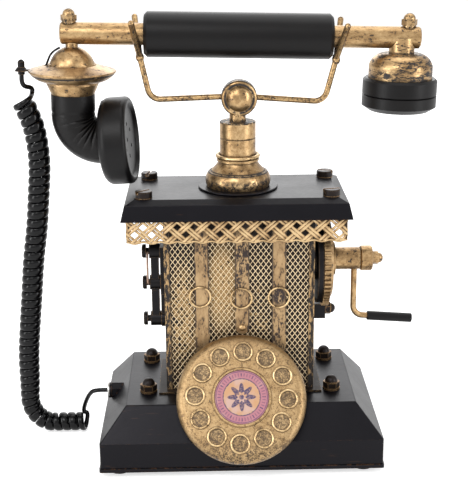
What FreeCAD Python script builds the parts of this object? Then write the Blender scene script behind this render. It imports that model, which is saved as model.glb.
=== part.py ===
import FreeCAD, Part
import math
import os
from FreeCAD import Vector

# Antique style table telephone, in millimetres.
# X points right, Y points away from the user and Z up.
# The origin is on the table below the middle of the base.

# Small distances used everywhere
CONTACT_GAP = 0.3
RUNNING_FIT = 0.08
HOLE_CLEARANCE = 0.15
SHEET = 1.2

# Base: a folded sheet skirt with four sloping sides
FOOT_HEIGHT = 4.0
BASE_HALF_X = 79.8
BASE_HALF_Y = 51.5
SKIRT_HEIGHT = 17.3
SLOPE_HEIGHT = 18.1
BASE_TOP_HALF_X = 65.0
BASE_TOP_HALF_Y = 39.4
BASE_WALL = 1.6
BASE_FOLD_RADIUS = 1.2
HEM_OUT = 0.6
HEM_HEIGHT = 2.2
WIRING_HALF_X = 12.0
WIRING_HALF_Y = 8.0
SKIRT_TOP = FOOT_HEIGHT + SKIRT_HEIGHT
BASE_TOP = SKIRT_TOP + SLOPE_HEIGHT

# Bottom plate and feet
PLATE_RECESS = 1.0
PLATE_THICKNESS = 1.2
FOOT_RADIUS = 7.3
FOOT_FLAT_RADIUS = 4.2
FOOT_INSET_X = 10.3
FOOT_INSET_Y = 10.5
FOOT_X = BASE_HALF_X - FOOT_INSET_X
FOOT_Y = BASE_HALF_Y - FOOT_INSET_Y
FOOT_STUD_RADIUS = 1.8
FOOT_STUD_LENGTH = 2.4
PLATE_BOTTOM = FOOT_HEIGHT + PLATE_RECESS
PLATE_TOP = PLATE_BOTTOM + PLATE_THICKNESS

# Cap nuts on the base
BASE_NUT_FRONT_INSET = 19.4
BASE_NUT_BACK_INSET = 14.4
BASE_NUT_GAP = 1.1
BASE_NUT_FRONT_Y = BASE_NUT_FRONT_INSET - BASE_TOP_HALF_Y
BASE_NUT_BACK_Y = BASE_TOP_HALF_Y - BASE_NUT_BACK_INSET
BASE_NUT_FLATS = 8.4
BASE_NUT_WASHER_RADIUS = 5.0
BASE_NUT_STUD_RADIUS = 2.0

# Ringer inside the base
RINGER_HALF_X = 40.0
RINGER_FRONT_Y = -31.0
RINGER_BACK_Y = 34.0
RINGER_THICKNESS = 1.6
GONG_X = 22.0
GONG_RADIUS = 15.0
GONG_HEIGHT = 9.0
GONG_Z = 17.0
GONG_POST_RADIUS = 2.5
COIL_X = 10.0
COIL_Y = 26.0
COIL_RADIUS = 6.5
COIL_HEIGHT = 18.0
HAMMER_PIVOT_Y = -25.0
HAMMER_PIN_RADIUS = 1.5
HAMMER_HUB_RADIUS = 3.5
HAMMER_ARM_HALF = 0.9
HAMMER_BALL_RADIUS = 2.6
HAMMER_Z = 20.0

# Column: a sheet box with corner angles, mesh and straps
COLUMN_HALF_X = 41.4
COLUMN_HALF_Y = 19.6
COLUMN_WALL = 1.0
FLANGE_OUT = 5.5
BASE_NUT_X = COLUMN_HALF_X + FLANGE_OUT + BASE_NUT_WASHER_RADIUS + BASE_NUT_GAP
FLANGE_THICKNESS = 1.0
TRIM_LEG = 3.2
TRIM_THICKNESS = 1.0
TRIM_TOP_DROP = 4.0
MESH_THICKNESS = 0.6
MESH_CELL_X = 6.6
MESH_CELL_Z = 8.9
MESH_WIRE = 0.8
MESH_BORDER = 1.2
STRAP_WIDTH = 8.1
STRAP_THICKNESS = 0.8
STRAP_XS = (-21.3, 1.4, 22.3)
SHORT_STRAP = 1
SHORT_STRAP_Z = 74.2
RIVET_RADIUS = 2.2
RIVET_HEIGHT = 1.4
RIVET_RISE = 3.9
LOOP_RADIUS = 5.9
LOOP_WIRE_RADIUS = 0.55
LOOP_PLACES = ((-22.4, 97.0), (0.9, 95.9), (22.2, 96.2))

# Tray on top of the column, with its lace band
TRAY_SHIFT = -1.5
TRAY_HALF_X = 63.5
TRAY_HALF_Y = 34.0
TRAY_SHOULDER_HALF_X = 61.3
TRAY_SHOULDER_HALF_Y = 32.1
TRAY_TOP_HALF_X = 56.2
TRAY_TOP_HALF_Y = 27.0
TRAY_SKIRT = 8.7
TRAY_SHOULDER = 2.2
TRAY_TOP = 155.8
TRAY_SHOULDER_Z = TRAY_TOP - TRAY_SHOULDER
TRAY_BOTTOM = TRAY_SHOULDER_Z - TRAY_SKIRT
LACE_INSET = 0.6
LACE_HALF_X = TRAY_SHOULDER_HALF_X - LACE_INSET
LACE_HALF_Y = TRAY_SHOULDER_HALF_Y - LACE_INSET
LACE_THICKNESS = 1.0
LACE_BOTTOM = 131.4
LACE_TOP = 149.0
LACE_PITCH = 9.1
LACE_HOLE_HALF = 2.5
LACE_ROW_Z = 141.2
LACE_ROW_STEP = 4.2
LACE_SCALLOP_RADIUS = 2.6
SCREW_PLACES = ((-52.5, -21.8), (51.0, -21.8), (-51.2, 21.8), (51.5, 21.8))
SCREW_HEAD_RADIUS = 4.8
SCREW_HEAD_HEIGHT = 3.8
SCREW_SLOT_WIDTH = 1.5
SCREW_SLOT_DEPTH = 1.3
SCREW_SLOT_ANGLES = (40.0, 12.0, 78.0, -25.0)
SCREW_SHANK_RADIUS = 2.0
SCREW_SHANK_LENGTH = 5.0

# Pedestal
WASHER_RADIUS = 22.5
WASHER_THICKNESS = 1.2
BELL_FOOT_RADIUS = 17.6
BELL_RADIUS = 18.1
BELL_TOP_RADIUS = 16.4
BELL_HEIGHT = 8.3
CONE_RADIUS = 15.9
CONE_TOP_RADIUS = 12.0
CONE_NECK_RADIUS = 10.6
CONE_HEIGHT = 7.4
BEAD_WIRE_RADIUS = 1.15
POST_RADIUS = 10.1
POST_TOP = 193.6
POST_GROOVE_Z = 184.4
POST_GROOVE = 0.7
STEM_RADIUS = 4.6
STEM_BOTTOM = 147.4
STEM_TRAVEL = 3.0
STEM_COLLAR_RADIUS = 7.0
STEM_COLLAR_THICKNESS = 1.5
SWITCH_HALF_X = 9.0
SWITCH_FRONT_Y = -7.0
SWITCH_THICKNESS = 4.0

# Cradle
HEAD_TILT = 1.3
DISC_Z = 206.7
DISC_X = 0.9
DISC_RADIUS = 10.0
DISC_HALF_THICKNESS = 4.6
DISC_DOME_RADIUS = 7.2
DISC_DOME_HEIGHT = 3.4
WIRE_RADIUS = 1.65
ARM_HALF_SPAN = 48.3
ARM_Z = 205.0
ARM_MIDDLE_Z = 207.6
ARM_BEND_RADIUS = 7.0
KNOT_X = 54.0
KNOT_RADIUS = 2.3
FORK_TIP_X = 57.6
FORK_TIP_Z = 248.5
FORK_ANGLE = 40.5

# Handset
ROD_Z = 241.0
ROD_RADIUS = 6.0
ROD_LEFT = -97.0
ROD_RIGHT = 99.8
ROD_CHAMFER = 0.8
GRIP_RADIUS = 12.4
GRIP_HALF = 51.6
GRIP_CHAMFER = 1.8
HANDSET_NUT_LEFT = -92.3
HANDSET_NUT_RIGHT = 93.4
HANDSET_NUT_FLATS = 7.6
TRANSMITTER_X = -91.0
NECK_RADIUS = 3.4
DOME_RADIUS = 12.2
DOME_TOP = -7.0
DOME_BOTTOM = -17.0
SAUCER_RADIUS = 24.1
SAUCER_TOP_RADIUS = 13.6
SAUCER_RIM_Z = -20.4
SAUCER_EDGE = 0.7
SAUCER_BOTTOM_RADIUS = 15.0
SAUCER_BOTTOM = -26.2
TRANSMITTER_BORE = 4.0
CUP_TOP_RADIUS = 14.4
CUP_BOTTOM_RADIUS = 12.4
CUP_BOTTOM = -33.2
ELBOW_RADIUS = 12.1
ELBOW_WALL = 2.0
ELBOW_BAND = 11.0
ELBOW_BEND_RADIUS = 15.5
ELBOW_TURN = 96.0
ELBOW_YAW = 5.7
MOUTH_RADIUS = 24.3
MOUTH_DEPTH = 16.0
MOUTH_BACK_ROUND = 5.0
MOUTH_FRONT_ROUND = 2.5
MOUTH_DISH = 3.0
MOUTH_FACE_RADIUS = 19.8
CAPSULE_RADIUS = 17.0
CAPSULE_DEPTH = 7.0
GRILLE_HOLE_RADIUS = 1.1
GRILLE_CIRCLE_RADIUS = 9.0
GRILLE_HOLES = 6
RECEIVER_X = 90.0
RECEIVER_NECK_RADIUS = 7.05
CAP_RADIUS = 17.65
CAP_TOP = -8.6
CAP_SHOULDER = -15.5
RECEIVER_CUP_TOP = -22.0
RECEIVER_RADIUS = 20.6
RECEIVER_SEAM = -31.2
RECEIVER_EDGE = -37.4
RECEIVER_BOTTOM = -40.0
RECEIVER_FACE_RADIUS = 16.6
RECEIVER_MOUTH_RADIUS = 15.0
SEAM_DEPTH = 0.6
SEAM_WIDTH = 0.9
TERMINAL_X = -118.9
TERMINAL_RADIUS = 3.8
TERMINAL_PIN_RADIUS = 1.9
TERMINAL_PIN_TOP = -14.6
TERMINAL_CONE_TOP = -18.9
TERMINAL_CONE_BOTTOM = -20.9
TERMINAL_BOTTOM = -22.8
TERMINAL_TAB_HALF = 2.2
TERMINAL_TAB_THICKNESS = 1.0

# Dial, leaning back on a bracket over the front edge of the base
DIAL_Y = -48.0
DIAL_Z = 47.2
DIAL_LEAN = 35.0
DIAL_RADIUS = 36.5
DIAL_ROUND = 4.7
DIAL_DEPTH = 5.2
DIAL_HUB_RADIUS = 7.0
DIAL_BEZEL_RADIUS = 16.8
DIAL_BEZEL_HEIGHT = 1.0
DIAL_CARD_RADIUS = 15.0
DIAL_CARD_THICKNESS = 0.6
DIAL_RING_COUNT = 12
DIAL_RING_CIRCLE = 25.9
DIAL_RING_RADIUS = 5.6
DIAL_RING_WALL = 1.0
DIAL_RING_HEIGHT = 1.3
DIAL_RING_START = 3.0
SPINDLE_RADIUS = 3.0
SPINDLE_TIP = 2.2
SPINDLE_LENGTH = 7.8
BRACKET_FACE = 8.5
BRACKET_HALF_X = 10.0
BRACKET_BACK_Y = -27.0
BRACKET_DOWN = 8.0
BRACKET_UP = 16.0

# Crank on the right side
AXLE_Z = 112.1
SHAFT_RADIUS = 4.0
SHAFT_START = 34.0
SHAFT_END = 79.0
SHAFT_COLLAR_RADIUS = 8.0
SHAFT_COLLAR_THICKNESS = 3.0
BEARING_BOSS_RADIUS = 12.0
BEARING_BOSS = 3.0
BEARING_RADIUS = 25.4
BEARING_THICKNESS = 3.0
GEAR_TIP_RADIUS = 27.2
GEAR_ROOT_RADIUS = 25.7
GEAR_TEETH = 55
GEAR_TOP_SHARE = 0.3
GEAR_ROOT_SHARE = 0.6
GEAR_THICKNESS = 3.6
GEAR_FLANGE_RADIUS = 23.5
GEAR_FLANGE_THICKNESS = 1.8
HUB_RADIUS = 9.6
HUB_LENGTH = 2.5
TUBE_RADIUS = 6.45
TUBE_LENGTH = 14.4
COLLAR_RADIUS = 7.3
COLLAR_LENGTH = 7.4
COLLAR_GROOVE_RADIUS = 5.8
COLLAR_GROOVE = 0.5
CRANK_NUT_FLATS = 6.9
CRANK_WIRE_RADIUS = 1.75
CRANK_ARM_X = 67.3
CRANK_DROP = 35.0
CRANK_BEND_RADIUS = 6.0
CRANK_GRIP_TILT = 4.3
CRANK_GRIP_START = 8.2
CRANK_GRIP_LENGTH = 26.6
CRANK_GRIP_RADIUS = 2.7
CRANK_GRIP_END_WALL = 1.5
CRANK_GRIP_ROUND = 0.7

# Ratchet block below the gear
PAWL_FRONT_Y = 0.0
PAWL_BACK_Y = 11.0
PAWL_BOTTOM = 75.0
PAWL_GEAR_GAP = 0.9
PAWL_OUT = 9.6
PAWL_NUT_FLATS = 6.6

# Line terminals on the left side
LINE_SCREW_ZS = (76.9, 99.2, 118.2)
LINE_PLATE_OUT = 3.8
LINE_PLATE_HALF_Y = 6.0
LINE_PLATE_BOTTOM = 93.5
LINE_PLATE_TOP = 122.0
LINE_STRIP_HALF_Y = 3.0
LINE_STRIP_BOTTOM = 73.0
LINE_BOSS_RADIUS = 4.3
LINE_BOSS_LENGTH = 6.3
LINE_BAR_INSET = 0.9
LINE_BAR_HALF_Y = 3.2
LINE_SCREW_RADIUS = 1.9
LINE_HEAD_RADIUS = 4.0
LINE_HEAD_THICKNESS = 2.4
LINE_HEAD_GAP = 1.8
LINE_WIRE_RADIUS = 0.6
LINE_WIRE_BOW = 4.0

# Curly cord, from the handset terminal to the gland in the left slope
CORD_RADIUS = 1.3
COIL_CENTRE_RADIUS = 4.5
CURL_PITCH = 5.0
CORD_POINTS_PER_CURL = 4
CORD_STRAIGHT = 2.0 * CORD_RADIUS
CORD_LEAD_REACH = 4.0
CORD_LEAD_STEP = 3.0
CORD_FLOOR_Z = COIL_CENTRE_RADIUS + CORD_RADIUS + 0.4
CORD_ROUTE = [
    (-119.0, 0.0, 206.5),
    (-116.6, 0.0, 200.5),
    (-112.9, 0.0, 190.0),
    (-111.2, 0.3, 172.0),
    (-113.2, 1.0, 152.0),
    (-115.2, 2.0, 133.0),
    (-118.8, 3.2, 112.0),
    (-120.9, 4.5, 92.0),
    (-123.3, 6.0, 73.0),
    (-125.6, 7.3, 52.0),
    (-126.0, 8.4, 33.0),
    (-127.0, 9.2, 17.0),
    (-118.6, 10.0, CORD_FLOOR_Z),
    (-105.0, 10.6, CORD_FLOOR_Z),
    (-93.5, 10.2, CORD_FLOOR_Z),
]
UPPER_LEAD = [
    (-113.6, 4.2, 213.0),
]
LOWER_LEAD = [
    (-95.2, 15.9, 13.5),
    (-92.0, 9.5, 20.5),
]
ROUTE_DEGREE = 2
ROUTE_SAMPLES = 4000

# Gland for the cord in the left slope of the base
GLAND_Y = 4.0
GLAND_Z = 29.6
GLAND_RADIUS = 2.8
GLAND_INSIDE = 5.0
GLAND_OUTSIDE = 4.9
GLAND_FLANGE_RADIUS = 4.7
GLAND_FLANGE = 0.9
GLAND_NUT_FLATS = 8.0
GLAND_NUT_COLLAR = 1.4

X_AXIS = Vector(1, 0, 0)
Y_AXIS = Vector(0, 1, 0)
Z_AXIS = Vector(0, 0, 1)
ORIGIN = Vector(0, 0, 0)


def box(x0, x1, y0, y1, z0, z1):
    """A box between two corners."""
    return Part.makeBox(x1 - x0, y1 - y0, z1 - z0, Vector(x0, y0, z0))


def rectangle(half_x, half_y, z, centre_x=0.0):
    """A closed rectangle in a level plane."""
    corners = [
        Vector(centre_x - half_x, -half_y, z),
        Vector(centre_x + half_x, -half_y, z),
        Vector(centre_x + half_x, half_y, z),
        Vector(centre_x - half_x, half_y, z),
    ]
    return Part.makePolygon(corners + corners[:1])


def frustum(lower, upper, centre_x=0.0):
    """A solid between two level rectangles, each given as half X, half Y and Z."""
    wires = [rectangle(*lower, centre_x), rectangle(*upper, centre_x)]
    return Part.makeLoft(wires, True, True)


def turned(outline, x=0.0, y=0.0):
    """A solid turned about a vertical axis from radius and height points.

    A point of three values is the end of an arc through the middle point before it.
    """
    edges = []
    start = Vector(outline[0][0], 0, outline[0][1])
    first = start
    for step in outline[1:]:
        if len(step) == 4:
            middle = Vector(step[0], 0, step[1])
            end = Vector(step[2], 0, step[3])
            edges.append(Part.Arc(start, middle, end).toShape())
        else:
            end = Vector(step[0], 0, step[1])
            edges.append(Part.makeLine(start, end))
        start = end
    edges.append(Part.makeLine(start, first))
    solid = Part.Face(Part.Wire(edges)).revolve(ORIGIN, Z_AXIS, 360)
    solid.translate(Vector(x, y, 0))
    return solid


def round_corner(centre_r, centre_z, radius, start, end):
    """An arc step for turned(), from its angles in degrees about its centre."""
    values = []
    for angle in ((start + end) / 2.0, end):
        values.append(centre_r + radius * math.cos(math.radians(angle)))
        values.append(centre_z + radius * math.sin(math.radians(angle)))
    return tuple(values)


def hexagon_prism(flats, height):
    """A hexagonal prism standing on the level plane through the origin."""
    corner = flats / math.sqrt(3.0)
    points = []
    for side in range(7):
        angle = math.radians(60.0 * side)
        points.append(Vector(corner * math.cos(angle), corner * math.sin(angle), 0))
    return Part.Face(Part.makePolygon(points)).extrude(Vector(0, 0, height))


def cap_nut(flats, washer_radius, stud_radius, stud_length):
    """A domed cap nut on a washer with its stud below, seated at the origin."""
    washer = 0.1 * flats
    hexagon = 0.42 * flats
    dome_radius = 0.44 * flats
    top = washer + hexagon
    shape = Part.makeCylinder(washer_radius, washer)
    body = hexagon_prism(flats, hexagon)
    body.translate(Vector(0, 0, washer))
    dome = Part.makeSphere(dome_radius, ORIGIN, Z_AXIS, 0, 90, 360)
    dome.translate(Vector(0, 0, top))
    stud = Part.makeCylinder(stud_radius, stud_length + washer, Vector(0, 0, -stud_length))
    return shape.fuse([body, dome, stud]).removeSplitter()


def along_x(shape, x, y, z):
    """Turns a shape made along Z so that it points along X, and moves it."""
    placed = shape.copy()
    placed.rotate(ORIGIN, Y_AXIS, 90)
    placed.translate(Vector(x, y, z))
    return placed


def moved(shape, x, y, z):
    """A moved copy of a shape."""
    placed = shape.copy()
    placed.translate(Vector(x, y, z))
    return placed


def tilted(item):
    """Tilts a shape or a point with the cradle's head, right side lower."""
    if isinstance(item, Vector):
        return FreeCAD.Rotation(Y_AXIS, HEAD_TILT).multVec(item - Vector(0, 0, DISC_Z)) + Vector(0, 0, DISC_Z)
    placed = item.copy()
    placed.rotate(Vector(0, 0, DISC_Z), Y_AXIS, HEAD_TILT)
    return placed


def rod_between(start, end, radius):
    """A round bar between two points."""
    line = end - start
    return Part.makeCylinder(radius, line.Length, start, line)


def bent_bar(points, radius, bend_radii):
    """A round bar along straight runs that are joined by tangent arcs."""
    edges = []
    start = points[0]
    for index in range(1, len(points) - 1):
        before = (points[index - 1] - points[index]).normalize()
        after = (points[index + 1] - points[index]).normalize()
        half_open = before.getAngle(after) / 2.0
        bend = bend_radii[index - 1]
        trim = bend / math.tan(half_open)
        inner = (before + after).normalize()
        middle = points[index] + inner * (bend / math.sin(half_open) - bend)
        arc_start = points[index] + before * trim
        arc_end = points[index] + after * trim
        edges.append(Part.makeLine(start, arc_start))
        edges.append(Part.Arc(arc_start, middle, arc_end).toShape())
        start = arc_end
    edges.append(Part.makeLine(start, points[-1]))
    circle = Part.Wire([Part.makeCircle(radius, points[0], points[1] - points[0])])
    return Part.Wire(edges).makePipeShell([circle], True, False)


def save(node, shape):
    """Writes one sub-part, and reports whether its solids are sound."""
    solids = len(shape.Solids)
    volume = sum(solid.Volume for solid in shape.Solids)
    state = "ok" if shape.isValid() and solids and volume > 0 else "CHECK"
    print(f"{node:22s} solids {solids:3d} volume {volume:10.1f} {state}")
    if solids == 1:
        shape = shape.Solids[0]
    shape.exportStep(f"parts/{node}.step")


# Base

def base_slopes():
    """The sloping upper part of the base, as a solid block."""
    return frustum(
        (BASE_HALF_X, BASE_HALF_Y, SKIRT_TOP), (BASE_TOP_HALF_X, BASE_TOP_HALF_Y, BASE_TOP))


def base_shell():
    """The folded sheet base with its hem, open below."""
    skirt = box(-BASE_HALF_X, BASE_HALF_X, -BASE_HALF_Y, BASE_HALF_Y, FOOT_HEIGHT, SKIRT_TOP)
    outer = skirt.fuse(base_slopes()).removeSplitter()
    folds = []
    for edge in outer.Edges:
        level = abs(edge.Vertexes[0].Z - edge.Vertexes[1].Z) < CONTACT_GAP
        if not level or edge.CenterOfMass.z > SKIRT_TOP + CONTACT_GAP:
            folds.append(edge)
    outer = outer.makeFillet(BASE_FOLD_RADIUS, folds)
    hem_x = BASE_HALF_X + HEM_OUT
    hem_y = BASE_HALF_Y + HEM_OUT
    hem = box(-hem_x, hem_x, -hem_y, hem_y, FOOT_HEIGHT, FOOT_HEIGHT + HEM_HEIGHT)
    uprights = [edge for edge in hem.Edges if abs(edge.Vertexes[0].Z - edge.Vertexes[1].Z) > HEM_OUT]
    hem = hem.makeFillet(BASE_FOLD_RADIUS, uprights)
    inner_x = BASE_HALF_X - BASE_WALL
    inner_y = BASE_HALF_Y - BASE_WALL
    hollow_skirt = box(-inner_x, inner_x, -inner_y, inner_y, 0, SKIRT_TOP)
    hollow_slopes = frustum(
        (inner_x, inner_y, SKIRT_TOP),
        (BASE_TOP_HALF_X - BASE_WALL, BASE_TOP_HALF_Y - BASE_WALL, BASE_TOP - BASE_WALL))
    shell = outer.fuse(hem).cut(hollow_skirt.fuse(hollow_slopes))
    holes = [box(-WIRING_HALF_X, WIRING_HALF_X, -WIRING_HALF_Y, WIRING_HALF_Y, SKIRT_TOP, BASE_TOP + SHEET)]
    for x, y in base_nut_places():
        hole_radius = BASE_NUT_STUD_RADIUS + HOLE_CLEARANCE
        holes.append(Part.makeCylinder(hole_radius, SLOPE_HEIGHT, Vector(x, y, SKIRT_TOP + SHEET)))
    holes.append(gland_bar(GLAND_RADIUS + HOLE_CLEARANCE, BASE_TOP_HALF_X / 2))
    return shell.cut(holes)


def base_nut_places():
    """X and Y of the four cap nuts on the base."""
    places = []
    for x in (-BASE_NUT_X, BASE_NUT_X):
        for y in (BASE_NUT_FRONT_Y, BASE_NUT_BACK_Y):
            places.append((x, y))
    return places


def foot_places():
    """X and Y of the four feet."""
    return [(x, y) for x in (-FOOT_X, FOOT_X) for y in (-FOOT_Y, FOOT_Y)]


def base_bottom_plate():
    """The sheet that closes the base from below."""
    half_x = BASE_HALF_X - BASE_WALL - CONTACT_GAP
    half_y = BASE_HALF_Y - BASE_WALL - CONTACT_GAP
    plate = box(-half_x, half_x, -half_y, half_y, PLATE_BOTTOM, PLATE_TOP)
    holes = []
    for x, y in foot_places():
        hole_radius = FOOT_STUD_RADIUS + HOLE_CLEARANCE
        holes.append(Part.makeCylinder(hole_radius, 2 * PLATE_BOTTOM, Vector(x, y, 0)))
    return plate.cut(holes)


def rubber_feet():
    """Four round feet with their studs through the bottom plate."""
    feet = []
    rounding = FOOT_RADIUS - FOOT_FLAT_RADIUS
    outline = [
        (0, 0),
        (FOOT_FLAT_RADIUS, 0),
        round_corner(FOOT_FLAT_RADIUS, rounding, rounding, -90, 0),
        (FOOT_RADIUS, PLATE_BOTTOM),
        (FOOT_STUD_RADIUS, PLATE_BOTTOM),
        (FOOT_STUD_RADIUS, PLATE_TOP + FOOT_STUD_LENGTH),
        (0, PLATE_TOP + FOOT_STUD_LENGTH),
    ]
    for x, y in foot_places():
        feet.append(turned(outline, x, y))
    return Part.makeCompound(feet)


def cap_nuts():
    """The four cap nuts on the base and the one on the ratchet block."""
    nuts = []
    nut = cap_nut(BASE_NUT_FLATS, BASE_NUT_WASHER_RADIUS, BASE_NUT_STUD_RADIUS, BASE_WALL + SHEET)
    for x, y in base_nut_places():
        nuts.append(moved(nut, x, y, BASE_TOP))
    pawl = cap_nut(PAWL_NUT_FLATS, PAWL_NUT_FLATS / 2, BASE_NUT_STUD_RADIUS, 2 * BASE_WALL)
    nuts.append(along_x(pawl, COLUMN_HALF_X + PAWL_OUT, pawl_y(), pawl_z()))
    return Part.makeCompound(nuts)


def ringer_yoke():
    """The ringer's frame with gong posts, hammer pin and the two coils."""
    plate = box(-RINGER_HALF_X, RINGER_HALF_X, RINGER_FRONT_Y, RINGER_BACK_Y,
                PLATE_TOP, PLATE_TOP + RINGER_THICKNESS)
    pieces = []
    for side in (-1, 1):
        post = Part.makeCylinder(GONG_POST_RADIUS, GONG_Z - PLATE_TOP, Vector(side * GONG_X, 0, PLATE_TOP))
        tip = Part.makeCylinder(
            GONG_POST_RADIUS / 2, GONG_HEIGHT + SHEET + GONG_Z - PLATE_TOP, Vector(side * GONG_X, 0, PLATE_TOP))
        coil = Part.makeCylinder(
            COIL_RADIUS, COIL_HEIGHT, Vector(side * COIL_X, COIL_Y, PLATE_TOP))
        pieces += [post, tip, coil]
    bar = box(-COIL_X - COIL_RADIUS, COIL_X + COIL_RADIUS, COIL_Y - COIL_RADIUS / 2, COIL_Y + COIL_RADIUS / 2,
              PLATE_TOP + COIL_HEIGHT, PLATE_TOP + COIL_HEIGHT + RINGER_THICKNESS)
    pin = Part.makeCylinder(
        HAMMER_PIN_RADIUS, HAMMER_Z + 2 * HAMMER_ARM_HALF + SHEET - PLATE_TOP,
        Vector(0, HAMMER_PIVOT_Y, PLATE_TOP))
    shoulder = Part.makeCylinder(
        HAMMER_HUB_RADIUS, HAMMER_Z - HAMMER_ARM_HALF - CONTACT_GAP - PLATE_TOP,
        Vector(0, HAMMER_PIVOT_Y, PLATE_TOP))
    return plate.fuse(pieces + [bar, pin, shoulder]).removeSplitter()


def ringer_gongs():
    """Two gongs on their posts."""
    gongs = []
    hole = GONG_POST_RADIUS / 2
    bend = GONG_HEIGHT / 2
    outline = [
        (hole, GONG_Z + GONG_HEIGHT),
        (hole, GONG_Z + GONG_HEIGHT - SHEET),
        (GONG_RADIUS - bend, GONG_Z + GONG_HEIGHT - SHEET),
        round_corner(GONG_RADIUS - bend, GONG_Z + bend, bend - SHEET, 90, 0),
        (GONG_RADIUS - SHEET, GONG_Z),
        (GONG_RADIUS, GONG_Z),
        (GONG_RADIUS, GONG_Z + bend),
        round_corner(GONG_RADIUS - bend, GONG_Z + bend, bend, 0, 90),
    ]
    boss_outline = [
        (hole, GONG_Z),
        (GONG_POST_RADIUS, GONG_Z),
        (GONG_POST_RADIUS, GONG_Z + GONG_HEIGHT),
        (hole, GONG_Z + GONG_HEIGHT),
    ]
    for side in (-1, 1):
        gong = turned(outline, side * GONG_X).fuse(turned(boss_outline, side * GONG_X))
        gongs.append(gong.removeSplitter())
    return Part.makeCompound(gongs)


def ringer_hammer():
    """The hammer that swings between the gongs."""
    hub = Part.makeCylinder(HAMMER_HUB_RADIUS, 2 * HAMMER_ARM_HALF,
                            Vector(0, HAMMER_PIVOT_Y, HAMMER_Z - HAMMER_ARM_HALF))
    arm = box(-HAMMER_ARM_HALF, HAMMER_ARM_HALF, HAMMER_PIVOT_Y, 0,
              HAMMER_Z - HAMMER_ARM_HALF, HAMMER_Z + HAMMER_ARM_HALF)
    ball = Part.makeSphere(HAMMER_BALL_RADIUS, Vector(0, 0, HAMMER_Z))
    bore = Part.makeCylinder(HAMMER_PIN_RADIUS + RUNNING_FIT, 2 * HAMMER_Z, Vector(0, HAMMER_PIVOT_Y, 0))
    return hub.fuse([arm, ball]).cut(bore)


def slope_x(z):
    """X of the base's left slope at a height."""
    share = (z - SKIRT_TOP) / SLOPE_HEIGHT
    return -(BASE_HALF_X + (BASE_TOP_HALF_X - BASE_HALF_X) * share)


def gland_end_x():
    """X of the gland's outer face, where the cord goes in."""
    return slope_x(GLAND_Z) - GLAND_OUTSIDE - GLAND_FLANGE


def gland_bar(radius, length):
    """A round bar along the gland's axis, from its outer face."""
    return Part.makeCylinder(radius, length, Vector(gland_end_x(), GLAND_Y, GLAND_Z), X_AXIS)


def cord_gland():
    """The cord's sleeve through the base, with its washer shaped flange."""
    length = slope_x(GLAND_Z) + GLAND_INSIDE - gland_end_x()
    sleeve = gland_bar(GLAND_RADIUS, length).fuse(gland_bar(GLAND_FLANGE_RADIUS, GLAND_FLANGE))
    bore = gland_bar(CORD_RADIUS + CONTACT_GAP, length)
    return sleeve.removeSplitter().cut(bore)


def gland_nut():
    """The black nut between the gland's flange and the slope, cut to seat on it."""
    nut = hexagon_prism(GLAND_NUT_FLATS, BASE_HALF_X - BASE_TOP_HALF_X)
    collar = Part.makeCylinder(GLAND_NUT_FLATS / 2 + SHEET / 2, GLAND_NUT_COLLAR)
    nut = nut.fuse(collar).removeSplitter()
    nut = along_x(nut, gland_end_x() + GLAND_FLANGE, GLAND_Y, GLAND_Z)
    return nut.cut([base_slopes(), gland_bar(GLAND_RADIUS, BASE_TOP_HALF_X)])


# Column

def column_shell():
    """The sheet box on its foot flange, open above."""
    flange = box(-COLUMN_HALF_X - FLANGE_OUT, COLUMN_HALF_X + FLANGE_OUT,
                 -COLUMN_HALF_Y - FLANGE_OUT, COLUMN_HALF_Y + FLANGE_OUT,
                 BASE_TOP, BASE_TOP + FLANGE_THICKNESS)
    walls = box(-COLUMN_HALF_X, COLUMN_HALF_X, -COLUMN_HALF_Y, COLUMN_HALF_Y, BASE_TOP, column_top())
    inner_x = COLUMN_HALF_X - COLUMN_WALL
    inner_y = COLUMN_HALF_Y - COLUMN_WALL
    hollow = box(-inner_x, inner_x, -inner_y, inner_y, 0, TRAY_TOP)
    shaft_hole = Part.makeCylinder(
        SHAFT_RADIUS + HOLE_CLEARANCE, COLUMN_HALF_X, Vector(COLUMN_HALF_X / 2, 0, AXLE_Z), X_AXIS)
    return flange.fuse(walls).removeSplitter().cut([hollow, shaft_hole])


def column_top():
    """Height of the column's upper edge, just below the tray's sheet."""
    return TRAY_TOP - SHEET


def corner_trims():
    """Four angles along the column's corners."""
    trims = []
    bottom = BASE_TOP + FLANGE_THICKNESS
    top = TRAY_TOP - SHEET - TRIM_TOP_DROP
    outer_x = COLUMN_HALF_X + TRIM_THICKNESS
    outer_y = COLUMN_HALF_Y + TRIM_THICKNESS
    angle = box(outer_x - TRIM_LEG, outer_x, outer_y - TRIM_LEG, outer_y, bottom, top)
    core = box(0, COLUMN_HALF_X, 0, COLUMN_HALF_Y, 0, TRAY_TOP)
    corner = angle.cut(core)
    for sign_x in (False, True):
        for sign_y in (False, True):
            trim = corner.copy()
            if sign_x:
                trim = trim.mirror(ORIGIN, X_AXIS)
            if sign_y:
                trim = trim.mirror(ORIGIN, Y_AXIS)
            trims.append(trim)
    return Part.makeCompound(trims)


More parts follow.
